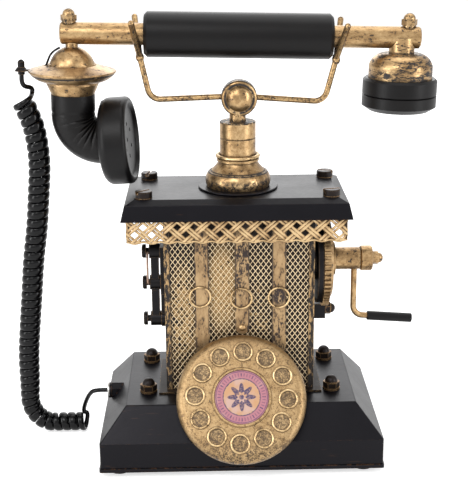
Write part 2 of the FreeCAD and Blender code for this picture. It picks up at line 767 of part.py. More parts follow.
def mesh_front():
    """The expanded metal net on the column's front."""
    half_x = COLUMN_HALF_X + TRIM_THICKNESS - TRIM_LEG - HOLE_CLEARANCE
    bottom = BASE_TOP + FLANGE_THICKNESS + CONTACT_GAP
    top = TRAY_TOP - SHEET - TRIM_TOP_DROP
    height = top - bottom
    columns = int((2 * half_x - 2 * MESH_BORDER) / MESH_CELL_X)
    rows = int((height - 2 * MESH_BORDER) / MESH_CELL_Z)
    hole_half_x = (MESH_CELL_X - MESH_WIRE) / 2.0
    hole_half_z = (MESH_CELL_Z - MESH_WIRE) / 2.0
    back_y = -COLUMN_HALF_Y
    front_y = back_y - MESH_THICKNESS
    holes = []
    for row in range(2 * rows - 1):
        shift = 0.5 if row % 2 else 0.0
        count = columns - 1 if row % 2 else columns
        for column in range(count):
            x = (column + 0.5 + shift - columns / 2.0) * MESH_CELL_X
            z = bottom + height / 2.0 + (row + 1 - rows) * MESH_CELL_Z / 2.0
            corners = [
                Vector(x - hole_half_x, front_y, z),
                Vector(x, front_y, z + hole_half_z),
                Vector(x + hole_half_x, front_y, z),
                Vector(x, front_y, z - hole_half_z),
            ]
            holes.append(Part.makePolygon(corners + corners[:1]))
    outline = Part.makePolygon([
        Vector(-half_x, front_y, bottom), Vector(half_x, front_y, bottom),
        Vector(half_x, front_y, top), Vector(-half_x, front_y, top), Vector(-half_x, front_y, bottom)])
    print("mesh gaps", len(holes))
    face = Part.Face([outline] + holes)
    return face.extrude(Vector(0, back_y - front_y, 0))


def strap_front_y():
    """Y of the straps' outer face."""
    return -COLUMN_HALF_Y - MESH_THICKNESS - STRAP_THICKNESS


def front_straps():
    """Three brass straps over the net, the middle one short and round ended."""
    straps = []
    top = TRAY_TOP - SHEET - TRIM_TOP_DROP
    half = STRAP_WIDTH / 2.0
    back_y = strap_front_y() + STRAP_THICKNESS
    for index, x in enumerate(STRAP_XS):
        if index == SHORT_STRAP:
            end = SHORT_STRAP_Z + half
            strap = box(x - half, x + half, strap_front_y(), back_y, end, top)
            tip = Part.makeCylinder(half, STRAP_THICKNESS, Vector(x, strap_front_y(), end), Y_AXIS)
            strap = strap.fuse(tip).removeSplitter()
        else:
            bottom = BASE_TOP + FLANGE_THICKNESS + CONTACT_GAP
            strap = box(x - half, x + half, strap_front_y(), back_y, bottom, top)
        straps.append(strap)
    return Part.makeCompound(straps)


def strap_rivet():
    """The domed rivet at the end of the short strap."""
    sphere_radius = (RIVET_RADIUS ** 2 + RIVET_HEIGHT ** 2) / (2 * RIVET_HEIGHT)
    ball = Part.makeSphere(sphere_radius, Vector(0, 0, RIVET_HEIGHT - sphere_radius))
    dome = ball.common(Part.makeCylinder(RIVET_RADIUS + SHEET, RIVET_HEIGHT + SHEET))
    dome.rotate(ORIGIN, X_AXIS, 90)
    return moved(dome, STRAP_XS[SHORT_STRAP], strap_front_y(), SHORT_STRAP_Z + RIVET_RISE)


def ring_loops():
    """Three wire rings soldered on the straps."""
    loops = []
    for x, z in LOOP_PLACES:
        centre = Vector(x, strap_front_y() - LOOP_WIRE_RADIUS - HOLE_CLEARANCE, z)
        loops.append(Part.makeTorus(LOOP_RADIUS, LOOP_WIRE_RADIUS, centre, Y_AXIS))
    return Part.makeCompound(loops)


# Tray and lace

def tray_top():
    """The folded sheet tray on the column."""
    outer = frustum(
        (TRAY_HALF_X, TRAY_HALF_Y, TRAY_BOTTOM),
        (TRAY_SHOULDER_HALF_X, TRAY_SHOULDER_HALF_Y, TRAY_SHOULDER_Z), TRAY_SHIFT)
    shoulder = frustum(
        (TRAY_SHOULDER_HALF_X, TRAY_SHOULDER_HALF_Y, TRAY_SHOULDER_Z),
        (TRAY_TOP_HALF_X, TRAY_TOP_HALF_Y, TRAY_TOP), TRAY_SHIFT)
    inner = frustum(
        (TRAY_HALF_X - SHEET, TRAY_HALF_Y - SHEET, TRAY_BOTTOM),
        (TRAY_SHOULDER_HALF_X - SHEET, TRAY_SHOULDER_HALF_Y - SHEET, TRAY_SHOULDER_Z - SHEET), TRAY_SHIFT)
    inner_shoulder = frustum(
        (TRAY_SHOULDER_HALF_X - SHEET, TRAY_SHOULDER_HALF_Y - SHEET, TRAY_SHOULDER_Z - SHEET),
        (TRAY_TOP_HALF_X - SHEET, TRAY_TOP_HALF_Y - SHEET, TRAY_TOP - SHEET), TRAY_SHIFT)
    tray = outer.fuse(shoulder).removeSplitter()
    folds = [edge for edge in tray.Edges if edge.CenterOfMass.z > TRAY_BOTTOM + CONTACT_GAP]
    tray = tray.makeFillet(SHEET / 2, folds)
    tray = tray.cut(inner.fuse(inner_shoulder))
    holes = [Part.makeCylinder(STEM_RADIUS + CONTACT_GAP, TRAY_TOP, Vector(0, 0, TRAY_BOTTOM))]
    for x, y in SCREW_PLACES:
        hole_radius = SCREW_SHANK_RADIUS + HOLE_CLEARANCE
        holes.append(Part.makeCylinder(hole_radius, TRAY_TOP, Vector(x, y, TRAY_BOTTOM)))
    return tray.cut(holes)


def tray_screws():
    """Four slotted cheese head screws on the tray."""
    screws = []
    rounding = SCREW_SLOT_DEPTH / 2
    head = SCREW_HEAD_HEIGHT
    outline = [
        (0, -SCREW_SHANK_LENGTH),
        (SCREW_SHANK_RADIUS, -SCREW_SHANK_LENGTH),
        (SCREW_SHANK_RADIUS, 0),
        (SCREW_HEAD_RADIUS, 0),
        (SCREW_HEAD_RADIUS, head - rounding),
        round_corner(SCREW_HEAD_RADIUS - rounding, head - rounding, rounding, 0, 90),
        (0, head),
    ]
    for (x, y), angle in zip(SCREW_PLACES, SCREW_SLOT_ANGLES):
        screw = turned(outline)
        slot = box(-SCREW_HEAD_RADIUS, SCREW_HEAD_RADIUS, -SCREW_SLOT_WIDTH / 2, SCREW_SLOT_WIDTH / 2,
                   head - SCREW_SLOT_DEPTH, head + SHEET)
        slot.rotate(ORIGIN, Z_AXIS, angle)
        screws.append(moved(screw.cut(slot), x, y, TRAY_TOP))
    return Part.makeCompound(screws)


def lace_side(length, count):
    """One straight run of the lace band along X, as a holed strip in the XZ plane."""
    half = length / 2.0
    points = [Vector(-half, 0, LACE_TOP), Vector(half, 0, LACE_TOP), Vector(half, 0, LACE_BOTTOM)]
    edges = []
    for start, end in zip(points, points[1:]):
        edges.append(Part.makeLine(start, end))
    pitch = length / count
    cursor = points[-1]
    for index in range(count):
        centre = half - (index + 0.5) * pitch
        arc_start = Vector(centre + LACE_SCALLOP_RADIUS, 0, LACE_BOTTOM)
        arc_end = Vector(centre - LACE_SCALLOP_RADIUS, 0, LACE_BOTTOM)
        middle = Vector(centre, 0, LACE_BOTTOM + LACE_SCALLOP_RADIUS)
        edges.append(Part.makeLine(cursor, arc_start))
        edges.append(Part.Arc(arc_start, middle, arc_end).toShape())
        cursor = arc_end
    edges.append(Part.makeLine(cursor, Vector(-half, 0, LACE_BOTTOM)))
    edges.append(Part.makeLine(Vector(-half, 0, LACE_BOTTOM), points[0]))
    wires = [Part.Wire(edges)]
    for row in range(2):
        z = LACE_ROW_Z - row * LACE_ROW_STEP
        holes = count if row == 0 else count - 1
        for index in range(holes):
            x = (index + 0.5 + 0.5 * row) * pitch - half
            corners = [
                Vector(x - LACE_HOLE_HALF, 0, z), Vector(x, 0, z - LACE_HOLE_HALF),
                Vector(x + LACE_HOLE_HALF, 0, z), Vector(x, 0, z + LACE_HOLE_HALF)]
            wires.append(Part.makePolygon(corners + corners[:1]))
    return Part.Face(wires).extrude(Vector(0, LACE_THICKNESS, 0))


def lace_skirt():
    """The pierced band below the tray, bent round its four sides."""
    count_x = round(2 * LACE_HALF_X / LACE_PITCH)
    count_y = round(2 * LACE_HALF_Y / LACE_PITCH)
    front = moved(lace_side(2 * LACE_HALF_X, count_x), 0, -LACE_HALF_Y, 0)
    back = front.mirror(ORIGIN, Y_AXIS)
    side = lace_side(2 * LACE_HALF_Y, count_y)
    side.rotate(ORIGIN, Z_AXIS, 90)
    right = moved(side, LACE_HALF_X, 0, 0)
    left = right.mirror(ORIGIN, X_AXIS)
    band = front.fuse([back, right, left]).removeSplitter()
    return moved(band, TRAY_SHIFT, 0, 0)


# Pedestal

def pedestal_washer():
    """The thin dished washer under the pedestal."""
    bore = STEM_RADIUS + CONTACT_GAP
    rim = WASHER_THICKNESS / 2
    return turned([
        (bore, TRAY_TOP),
        (WASHER_RADIUS - rim, TRAY_TOP),
        round_corner(WASHER_RADIUS - rim, TRAY_TOP + rim, rim, -90, 90),
        (BELL_FOOT_RADIUS, TRAY_TOP + WASHER_THICKNESS),
        (bore, TRAY_TOP + WASHER_THICKNESS),
    ])


def bell_bottom():
    """Height of the bell's foot."""
    return TRAY_TOP + WASHER_THICKNESS


def cone_bottom():
    """Height of the cone's lower edge."""
    return bell_bottom() + BELL_HEIGHT


def post_bottom():
    """Height of the post's lower end."""
    return cone_bottom() + CONE_HEIGHT


def pedestal_bell():
    """The rounded spun shell at the bottom of the pedestal."""
    low = bell_bottom()
    high = cone_bottom()
    middle = (low + high) / 2.0 - SHEET / 2
    bore = STEM_RADIUS + CONTACT_GAP
    return turned([
        (BELL_FOOT_RADIUS - SHEET, low),
        (BELL_FOOT_RADIUS, low),
        (BELL_RADIUS + SHEET / 4, middle, BELL_TOP_RADIUS, high),
        (bore, high),
        (bore, high - SHEET),
        (BELL_TOP_RADIUS - SHEET, high - SHEET),
        (BELL_RADIUS - SHEET, middle, BELL_FOOT_RADIUS - SHEET, low + SHEET / 4),
    ])


def pedestal_cone():
    """The flared shell between the bell and the post."""
    low = cone_bottom()
    high = post_bottom()
    bore = STEM_RADIUS + CONTACT_GAP
    bend_r = (CONE_RADIUS + CONE_NECK_RADIUS) / 2.0 - SHEET
    bend_z = (low + high) / 2.0 - SHEET / 2
    return turned([
        (CONE_RADIUS - SHEET, low),
        (CONE_RADIUS, low),
        (bend_r + SHEET / 2, bend_z, CONE_NECK_RADIUS, high - SHEET),
        (CONE_TOP_RADIUS, high - SHEET),
        (CONE_TOP_RADIUS, high),
        (bore, high),
        (bore, high - SHEET),
        (CONE_NECK_RADIUS - SHEET, high - SHEET),
        (bend_r - SHEET / 2, bend_z, CONE_RADIUS - SHEET, low + SHEET / 4),
    ])


def collar_ring():
    """The wire ring round the foot of the post."""
    ring_radius = POST_RADIUS + HOLE_CLEARANCE + BEAD_WIRE_RADIUS
    centre = Vector(0, 0, post_bottom() + BEAD_WIRE_RADIUS + HOLE_CLEARANCE)
    return Part.makeTorus(ring_radius, BEAD_WIRE_RADIUS, centre)


def pedestal_post():
    """The bored post that guides the cradle's stem."""
    bore = STEM_RADIUS + RUNNING_FIT
    groove = POST_GROOVE / 2
    return turned([
        (bore, post_bottom()),
        (POST_RADIUS, post_bottom()),
        (POST_RADIUS, POST_GROOVE_Z - groove),
        (POST_RADIUS - groove, POST_GROOVE_Z),
        (POST_RADIUS, POST_GROOVE_Z + groove),
        (POST_RADIUS, POST_TOP - groove),
        (POST_RADIUS - groove, POST_TOP),
        (bore, POST_TOP),
    ])


def hook_switch():
    """The switch on its bracket inside the column, under the stem."""
    top = STEM_BOTTOM - CONTACT_GAP
    wall_y = COLUMN_HALF_Y - COLUMN_WALL
    block = box(-SWITCH_HALF_X, SWITCH_HALF_X, SWITCH_FRONT_Y, wall_y, top - SWITCH_THICKNESS, top)
    web = box(-SWITCH_HALF_X, SWITCH_HALF_X, wall_y - SWITCH_THICKNESS / 2, wall_y,
              top - 3 * SWITCH_THICKNESS, top)
    return block.fuse(web).removeSplitter()


# Cradle

def cradle_stem():
    """The stem that slides in the post, with its stop collar under the tray."""
    collar_top = TRAY_TOP - SHEET - STEM_TRAVEL - 2 * CONTACT_GAP
    stem_top = DISC_Z - DISC_RADIUS / 2
    return turned([
        (0, STEM_BOTTOM),
        (STEM_RADIUS, STEM_BOTTOM),
        (STEM_RADIUS, collar_top - STEM_COLLAR_THICKNESS),
        (STEM_COLLAR_RADIUS, collar_top - STEM_COLLAR_THICKNESS),
        (STEM_COLLAR_RADIUS, collar_top),
        (STEM_RADIUS, collar_top),
        (STEM_RADIUS, stem_top),
        (0, stem_top),
    ])


def cradle_disc(stem, wire):
    """The round head that clamps the cradle's wire to the stem."""
    rounding = WIRE_RADIUS
    half = DISC_HALF_THICKNESS
    ball_radius = (DISC_DOME_RADIUS ** 2 + DISC_DOME_HEIGHT ** 2) / (2 * DISC_DOME_HEIGHT)
    peak = half + DISC_DOME_HEIGHT
    half_angle = math.degrees(math.asin(DISC_DOME_RADIUS / ball_radius))
    head = turned([
        (0, -half),
        (DISC_RADIUS - rounding, -half),
        round_corner(DISC_RADIUS - rounding, -half + rounding, rounding, -90, 0),
        (DISC_RADIUS, half - rounding),
        round_corner(DISC_RADIUS - rounding, half - rounding, rounding, 0, 90),
        (DISC_DOME_RADIUS, half),
        round_corner(0, peak - ball_radius, ball_radius, 90 - half_angle, 90),
    ])
    head.rotate(ORIGIN, X_AXIS, 90)
    return moved(head, DISC_X, 0, DISC_Z).cut([stem, wire])


def knot_z():
    """Height of each fork's root, so that the legs touch the rod."""
    reach = ROD_RADIUS + WIRE_RADIUS + CONTACT_GAP
    return ROD_Z - reach / math.sin(math.radians(FORK_ANGLE))


def cradle_wire():
    """The cradle's wire with a fork at each end."""
    path = [
        Vector(-KNOT_X, 0, knot_z()),
        Vector(-ARM_HALF_SPAN, 0, ARM_Z),
        Vector(0, 0, ARM_MIDDLE_Z),
        Vector(ARM_HALF_SPAN, 0, ARM_Z),
        Vector(KNOT_X, 0, knot_z()),
    ]
    bends = [ARM_BEND_RADIUS, 4 * ARM_BEND_RADIUS, ARM_BEND_RADIUS]
    bow = bent_bar(path, WIRE_RADIUS, bends)
    pieces = []
    for side in (-1, 1):
        root = Vector(side * KNOT_X, 0, knot_z())
        pieces.append(Part.makeSphere(KNOT_RADIUS, root))
        for leg_side in (-1, 1):
            spread = (FORK_TIP_Z - knot_z()) * math.tan(math.radians(FORK_ANGLE))
            tip = Vector(side * FORK_TIP_X, leg_side * spread, FORK_TIP_Z)
            pieces.append(rod_between(root, tip, WIRE_RADIUS))
            pieces.append(Part.makeSphere(WIRE_RADIUS, tip))
    return tilted(bow.fuse(pieces))


# Handset, built level and tilted with the head

def handset_rod():
    """The brass rod through the grip."""
    rod = turned([
        (0, ROD_LEFT),
        (ROD_RADIUS - ROD_CHAMFER, ROD_LEFT),
        (ROD_RADIUS, ROD_LEFT + ROD_CHAMFER),
        (ROD_RADIUS, ROD_RIGHT - ROD_CHAMFER),
        (ROD_RADIUS - ROD_CHAMFER, ROD_RIGHT),
        (0, ROD_RIGHT),
    ])
    return along_x(rod, 0, 0, ROD_Z)


def handset_nuts(rod):
    """The two cap nuts on top of the rod."""
    nut = cap_nut(HANDSET_NUT_FLATS, HANDSET_NUT_FLATS / 2, SCREW_SHANK_RADIUS, ROD_RADIUS / 2)
    foot = Part.makeCylinder(HANDSET_NUT_FLATS / 2 - SHEET / 2, SHEET, Vector(0, 0, -SHEET))
    nut = nut.fuse(foot).removeSplitter()
    seat = ROD_Z + ROD_RADIUS
    return [moved(nut, x, 0, seat) for x in (HANDSET_NUT_LEFT, HANDSET_NUT_RIGHT)]


def handset_grip():
    """The black grip round the middle of the rod."""
    grip = turned([
        (ROD_RADIUS, -GRIP_HALF),
        (GRIP_RADIUS - GRIP_CHAMFER, -GRIP_HALF),
        (GRIP_RADIUS, -GRIP_HALF + GRIP_CHAMFER),
        (GRIP_RADIUS, GRIP_HALF - GRIP_CHAMFER),
        (GRIP_RADIUS - GRIP_CHAMFER, GRIP_HALF),
        (ROD_RADIUS, GRIP_HALF),
    ])
    return along_x(grip, 0, 0, ROD_Z)


def transmitter_dome(rod):
    """The domed shell under the rod's left end, with its neck."""
    rise = DOME_TOP - DOME_BOTTOM
    ball = (DOME_RADIUS ** 2 + rise ** 2) / (2 * rise)
    inner = DOME_RADIUS - SHEET
    inner_rise = rise - SHEET
    inner_ball = (inner ** 2 + inner_rise ** 2) / (2 * inner_rise)
    start = 90 - math.degrees(math.asin(DOME_RADIUS / ball))
    inner_start = 90 - math.degrees(math.asin(inner / inner_ball))
    dome = turned([
        (0, DOME_TOP - SHEET),
        round_corner(0, DOME_TOP - SHEET - inner_ball, inner_ball, 90, inner_start),
        (SAUCER_TOP_RADIUS - SHEET, DOME_BOTTOM),
        (SAUCER_TOP_RADIUS - SHEET / 2, DOME_BOTTOM),
        (SAUCER_TOP_RADIUS - SHEET / 2, DOME_BOTTOM + SHEET / 2),
        (DOME_RADIUS, DOME_BOTTOM + SHEET / 2),
        round_corner(0, DOME_TOP - ball, ball, start + 3, 90),
    ], TRANSMITTER_X)
    neck = Part.makeCylinder(NECK_RADIUS, ROD_RADIUS, Vector(TRANSMITTER_X, 0, DOME_TOP - SHEET / 2))
    return moved(dome.fuse(neck), 0, 0, ROD_Z).cut(rod)


def transmitter_saucer():
    """The wide brass saucer below the dome."""
    waist_r = (SAUCER_RADIUS + SAUCER_BOTTOM_RADIUS) / 2 + SHEET / 2
    waist_z = (SAUCER_RIM_Z + SAUCER_BOTTOM) / 2 - SHEET
    saucer = turned([
        (TRANSMITTER_BORE, DOME_BOTTOM),
        (SAUCER_TOP_RADIUS, DOME_BOTTOM),
        (SAUCER_RADIUS - SAUCER_EDGE, SAUCER_RIM_Z + SAUCER_EDGE / 2),
        (SAUCER_RADIUS, SAUCER_RIM_Z, SAUCER_RADIUS - SAUCER_EDGE / 2, SAUCER_RIM_Z - SAUCER_EDGE),
        (waist_r, waist_z, SAUCER_BOTTOM_RADIUS, SAUCER_BOTTOM),
        (TRANSMITTER_BORE, SAUCER_BOTTOM),
    ], TRANSMITTER_X)
    return moved(saucer, 0, 0, ROD_Z)


def transmitter_cup():
    """The tapered brass cup between the saucer and the elbow."""
    lip = SHEET
    cup = turned([
        (TRANSMITTER_BORE, SAUCER_BOTTOM),
        (CUP_TOP_RADIUS, SAUCER_BOTTOM),
        (CUP_TOP_RADIUS, SAUCER_BOTTOM - lip),
        (CUP_BOTTOM_RADIUS, CUP_BOTTOM + lip),
        (CUP_BOTTOM_RADIUS - lip / 2, CUP_BOTTOM),
        (TRANSMITTER_BORE, CUP_BOTTOM),
    ], TRANSMITTER_X)
    return moved(cup, 0, 0, ROD_Z)


def elbow_end():
    """The middle of the elbow's outlet and its direction, before the yaw."""
    turn = math.radians(ELBOW_TURN)
    start_z = ROD_Z + CUP_BOTTOM - ELBOW_BAND
    x = TRANSMITTER_X + ELBOW_BEND_RADIUS * (1 - math.cos(turn))
    z = start_z - ELBOW_BEND_RADIUS * math.sin(turn)
    return Vector(x, 0, z), Vector(math.sin(turn), 0, -math.cos(turn))


def yawed(shape):
    """Turns a shape about the transmitter's axis, its right side towards the user."""
    placed = shape.copy()
    placed.rotate(Vector(TRANSMITTER_X, 0, 0), Z_AXIS, -ELBOW_YAW)
    return placed


def elbow_pipe(radius):
    """A round pipe along the elbow's middle line."""
    top = Vector(TRANSMITTER_X, 0, ROD_Z + CUP_BOTTOM)
    bend_start = top - Vector(0, 0, ELBOW_BAND)
    half = math.radians(ELBOW_TURN / 2)
    middle = bend_start + Vector(
        ELBOW_BEND_RADIUS * (1 - math.cos(half)), 0, -ELBOW_BEND_RADIUS * math.sin(half))
    end = elbow_end()[0]
    path = Part.Wire([Part.makeLine(top, bend_start), Part.Arc(bend_start, middle, end).toShape()])
    circle = Part.Wire([Part.makeCircle(radius, top, Z_AXIS)])
    return path.makePipeShell([circle], True, False)


def elbow():
    """The black elbow with the seam of its upper band."""
    pipe = elbow_pipe(ELBOW_RADIUS).cut(elbow_pipe(ELBOW_RADIUS - ELBOW_WALL))
    seam = turned([
        (ELBOW_RADIUS - SEAM_DEPTH / 2, -SEAM_WIDTH / 2),
        (ELBOW_RADIUS + SHEET, -SEAM_WIDTH / 2),
        (ELBOW_RADIUS + SHEET, SEAM_WIDTH / 2),
        (ELBOW_RADIUS - SEAM_DEPTH / 2, SEAM_WIDTH / 2),
    ], TRANSMITTER_X)
    seam = moved(seam, 0, 0, ROD_Z + CUP_BOTTOM - ELBOW_BAND + SEAM_WIDTH)
    return yawed(pipe.cut(seam))


def at_elbow_end(shape):
    """Puts a shape made along Z on the elbow's outlet."""
    centre, direction = elbow_end()
    placed = shape.copy()
    placed.Placement = FreeCAD.Placement(centre, FreeCAD.Rotation(Z_AXIS, direction)).multiply(placed.Placement)
    return yawed(placed)


def grille_holes(depth_start, depth):
    """Round sound holes: one in the middle and a circle round it."""
    holes = [Part.makeCylinder(GRILLE_HOLE_RADIUS, depth, Vector(0, 0, depth_start))]
    for index in range(GRILLE_HOLES):
        angle = 2 * math.pi * index / GRILLE_HOLES
        x = GRILLE_CIRCLE_RADIUS * math.cos(angle)
        y = GRILLE_CIRCLE_RADIUS * math.sin(angle)
        holes.append(Part.makeCylinder(GRILLE_HOLE_RADIUS, depth, Vector(x, y, depth_start)))
    return holes


def mouthpiece():
    """The thick black mouthpiece with its dished face and capsule chamber."""
    inner = ELBOW_RADIUS - ELBOW_WALL
    chamber = CAPSULE_RADIUS + CONTACT_GAP
    chamber_back = BASE_WALL + SHEET
    chamber_front = chamber_back + CAPSULE_DEPTH + 2 * CONTACT_GAP
    face = MOUTH_DEPTH - MOUTH_DISH
    disc = turned([
        (0, face),
        (0, chamber_front),
        (chamber, chamber_front),
        (chamber, chamber_back),
        (inner, chamber_back),
        (inner, 0),
        (MOUTH_RADIUS - MOUTH_BACK_ROUND, 0),
        round_corner(MOUTH_RADIUS - MOUTH_BACK_ROUND, MOUTH_BACK_ROUND, MOUTH_BACK_ROUND, -90, 0),
        (MOUTH_RADIUS, MOUTH_DEPTH - MOUTH_FRONT_ROUND),
        round_corner(
            MOUTH_RADIUS - MOUTH_FRONT_ROUND, MOUTH_DEPTH - MOUTH_FRONT_ROUND, MOUTH_FRONT_ROUND, 0, 90),
        (MOUTH_FACE_RADIUS + SHEET, MOUTH_DEPTH),
        (MOUTH_FACE_RADIUS, face + SHEET),
    ])
    return at_elbow_end(disc.cut(grille_holes(chamber_front - SHEET, MOUTH_DEPTH)))


def mic_capsule():
    """The transmitter capsule in the mouthpiece."""
    back = BASE_WALL + SHEET + CONTACT_GAP
    return at_elbow_end(Part.makeCylinder(CAPSULE_RADIUS, CAPSULE_DEPTH, Vector(0, 0, back)))


def receiver_cap(rod):
    """The worn brass cap over the receiver, with its neck."""
    round_r = CAP_RADIUS - RECEIVER_NECK_RADIUS
    round_z = CAP_TOP - CAP_SHOULDER
    middle_r = RECEIVER_NECK_RADIUS + 0.72 * round_r
    middle_z = CAP_SHOULDER + 0.72 * round_z
    cap = turned([
        (0, CAP_TOP - SHEET),
        (RECEIVER_NECK_RADIUS, CAP_TOP - SHEET),
        (middle_r - SHEET, middle_z - SHEET, CAP_RADIUS - SHEET, CAP_SHOULDER),
        (CAP_RADIUS - SHEET, RECEIVER_CUP_TOP + SHEET),
        (RECEIVER_MOUTH_RADIUS, RECEIVER_CUP_TOP + SHEET),
        (RECEIVER_MOUTH_RADIUS, RECEIVER_CUP_TOP),
        (CAP_RADIUS, RECEIVER_CUP_TOP),
        (CAP_RADIUS, CAP_SHOULDER),
        (middle_r, middle_z, RECEIVER_NECK_RADIUS, CAP_TOP),
        (RECEIVER_NECK_RADIUS, 0),
        (0, 0),
    ], RECEIVER_X)
    return moved(cap, 0, 0, ROD_Z).cut(rod)


def receiver_cup():
    """The black receiver cup with its seam, its chamber and the sound holes."""
    chamber = CAPSULE_RADIUS + CONTACT_GAP
    floor = RECEIVER_BOTTOM + BASE_WALL + SHEET / 2
    lip = RECEIVER_CUP_TOP - 2 * SHEET
    cup = turned([
        (0, floor),
        (chamber, floor),
        (chamber, lip),
        (RECEIVER_MOUTH_RADIUS, lip),
        (RECEIVER_MOUTH_RADIUS, RECEIVER_CUP_TOP),
        (RECEIVER_RADIUS - SHEET, RECEIVER_CUP_TOP),
        (RECEIVER_RADIUS, RECEIVER_CUP_TOP - SHEET),
        (RECEIVER_RADIUS, RECEIVER_SEAM + SEAM_WIDTH / 2),
        (RECEIVER_RADIUS - SEAM_DEPTH, RECEIVER_SEAM),
        (RECEIVER_RADIUS, RECEIVER_SEAM - SEAM_WIDTH / 2),
        (RECEIVER_RADIUS, RECEIVER_EDGE),
        (RECEIVER_FACE_RADIUS, RECEIVER_BOTTOM),
        (0, RECEIVER_BOTTOM + SHEET / 2),
    ])
    cup = cup.cut(grille_holes(RECEIVER_BOTTOM - SHEET, 3 * SHEET + BASE_WALL))
    return moved(cup, RECEIVER_X, 0, ROD_Z)


def receiver_capsule():
    """The receiver capsule in its chamber."""
    floor = RECEIVER_BOTTOM + BASE_WALL + SHEET / 2 + CONTACT_GAP
    return Part.makeCylinder(CAPSULE_RADIUS, CAPSULE_DEPTH, Vector(RECEIVER_X, 0, ROD_Z + floor))


def cord_terminal(saucer):
    """The terminal on the saucer's rim that takes the cord."""
    post = turned([
        (0, TERMINAL_BOTTOM),
        (TERMINAL_PIN_RADIUS, TERMINAL_BOTTOM),
        (TERMINAL_PIN_RADIUS, TERMINAL_CONE_BOTTOM),
        (TERMINAL_RADIUS, TERMINAL_CONE_BOTTOM),
        (TERMINAL_PIN_RADIUS + SHEET / 4, TERMINAL_CONE_TOP),
        (TERMINAL_PIN_RADIUS, TERMINAL_CONE_TOP),
        (TERMINAL_PIN_RADIUS, TERMINAL_PIN_TOP - SHEET),
        (TERMINAL_PIN_RADIUS - SHEET, TERMINAL_PIN_TOP),
        (0, TERMINAL_PIN_TOP),
    ], TERMINAL_X)
    rim_x = TRANSMITTER_X - SAUCER_RADIUS
    tab_bottom = TERMINAL_CONE_BOTTOM
    tab = box(TERMINAL_X, rim_x + 2 * SHEET, -TERMINAL_TAB_HALF, TERMINAL_TAB_HALF,
              tab_bottom, tab_bottom + TERMINAL_TAB_THICKNESS)
    return moved(post.fuse(tab).removeSplitter(), 0, 0, ROD_Z).cut(saucer)


# Dial

def on_dial(shape):
    """Puts a shape made level, facing up, on the dial's leaning plane."""
    placed = shape.copy()
    placed.rotate(ORIGIN, X_AXIS, 90 - DIAL_LEAN)
    placed.translate(Vector(0, DIAL_Y, DIAL_Z))
    return placed


def dial_pan():
    """The round dial pan with its rolled edge, bezel and hub."""
    flat = DIAL_RADIUS - DIAL_ROUND
    pan = turned([
        (0, 0),
        (flat, 0),
        round_corner(flat, -DIAL_ROUND, DIAL_ROUND, 90, 0),
        (DIAL_RADIUS, -DIAL_DEPTH),
        (DIAL_RADIUS - SHEET, -DIAL_DEPTH),
        (DIAL_RADIUS - SHEET, -DIAL_ROUND),
        round_corner(flat, -DIAL_ROUND, DIAL_ROUND - SHEET, 0, 90),
        (0, -SHEET),
    ])
    bezel = turned([
        (DIAL_CARD_RADIUS + CONTACT_GAP, -SHEET / 2),
        (DIAL_BEZEL_RADIUS, -SHEET / 2),
        (DIAL_BEZEL_RADIUS, DIAL_BEZEL_HEIGHT / 2),
        (DIAL_BEZEL_RADIUS - DIAL_BEZEL_HEIGHT / 2, DIAL_BEZEL_HEIGHT),
        (DIAL_CARD_RADIUS + CONTACT_GAP, DIAL_BEZEL_HEIGHT),
    ])
    hub_length = BRACKET_FACE - CONTACT_GAP
    hub = Part.makeCylinder(DIAL_HUB_RADIUS, hub_length - SHEET / 2, Vector(0, 0, -hub_length))
    bore = Part.makeCylinder(
        SPINDLE_RADIUS + RUNNING_FIT, hub_length - SPINDLE_TIP + CONTACT_GAP, Vector(0, 0, -hub_length))
    return on_dial(pan.fuse([bezel, hub]).removeSplitter().cut(bore))


def dial_rings():
    """Twelve finger rings soldered on the pan."""
    rings = []
    for index in range(DIAL_RING_COUNT):
        angle = math.radians(90 - DIAL_RING_START - 360.0 * index / DIAL_RING_COUNT)
        centre = Vector(DIAL_RING_CIRCLE * math.cos(angle), DIAL_RING_CIRCLE * math.sin(angle), 0)
        outer = Part.makeCylinder(DIAL_RING_RADIUS, DIAL_RING_HEIGHT, centre)
        inner = Part.makeCylinder(DIAL_RING_RADIUS - DIAL_RING_WALL, DIAL_RING_HEIGHT, centre)
        rings.append(on_dial(outer.cut(inner)))
    return Part.makeCompound(rings)


def dial_card():
    """The printed card in the bezel."""
    return on_dial(Part.makeCylinder(DIAL_CARD_RADIUS, DIAL_CARD_THICKNESS))


def dial_point(along, behind):
    """A point on the dial's middle plane: a distance up the plane, and one behind it."""
    lean = math.radians(DIAL_LEAN)
    y = DIAL_Y + along * math.sin(lean) + behind * math.cos(lean)
    z = DIAL_Z + along * math.cos(lean) - behind * math.sin(lean)
    return Vector(-BRACKET_HALF_X, y, z)


def dial_bracket():
    """The saddle bracket on the base's front edge that carries the dial."""
    slope_run = BASE_HALF_Y - BASE_TOP_HALF_Y
    low = dial_point(-BRACKET_DOWN, BRACKET_FACE)
    foot_y = low.y + GONG_POST_RADIUS
    foot_z = BASE_TOP - (-foot_y - BASE_TOP_HALF_Y) * SLOPE_HEIGHT / slope_run
    high = dial_point(BRACKET_UP, BRACKET_FACE)
    x = -BRACKET_HALF_X
    points = [
        Vector(x, BRACKET_BACK_Y, BASE_TOP),
        Vector(x, -BASE_TOP_HALF_Y, BASE_TOP),
        Vector(x, foot_y, foot_z),
        low,
        high,
        Vector(x, BRACKET_BACK_Y, high.z),
    ]
    block = Part.Face(Part.makePolygon(points + points[:1])).extrude(Vector(2 * BRACKET_HALF_X, 0, 0))
    return block.cut(dial_spindle())


def dial_spindle():
    """The pin that the dial turns on."""
    start = -SPINDLE_TIP - SPINDLE_LENGTH
    return on_dial(Part.makeCylinder(SPINDLE_RADIUS, SPINDLE_LENGTH, Vector(0, 0, start)))


# Crank side

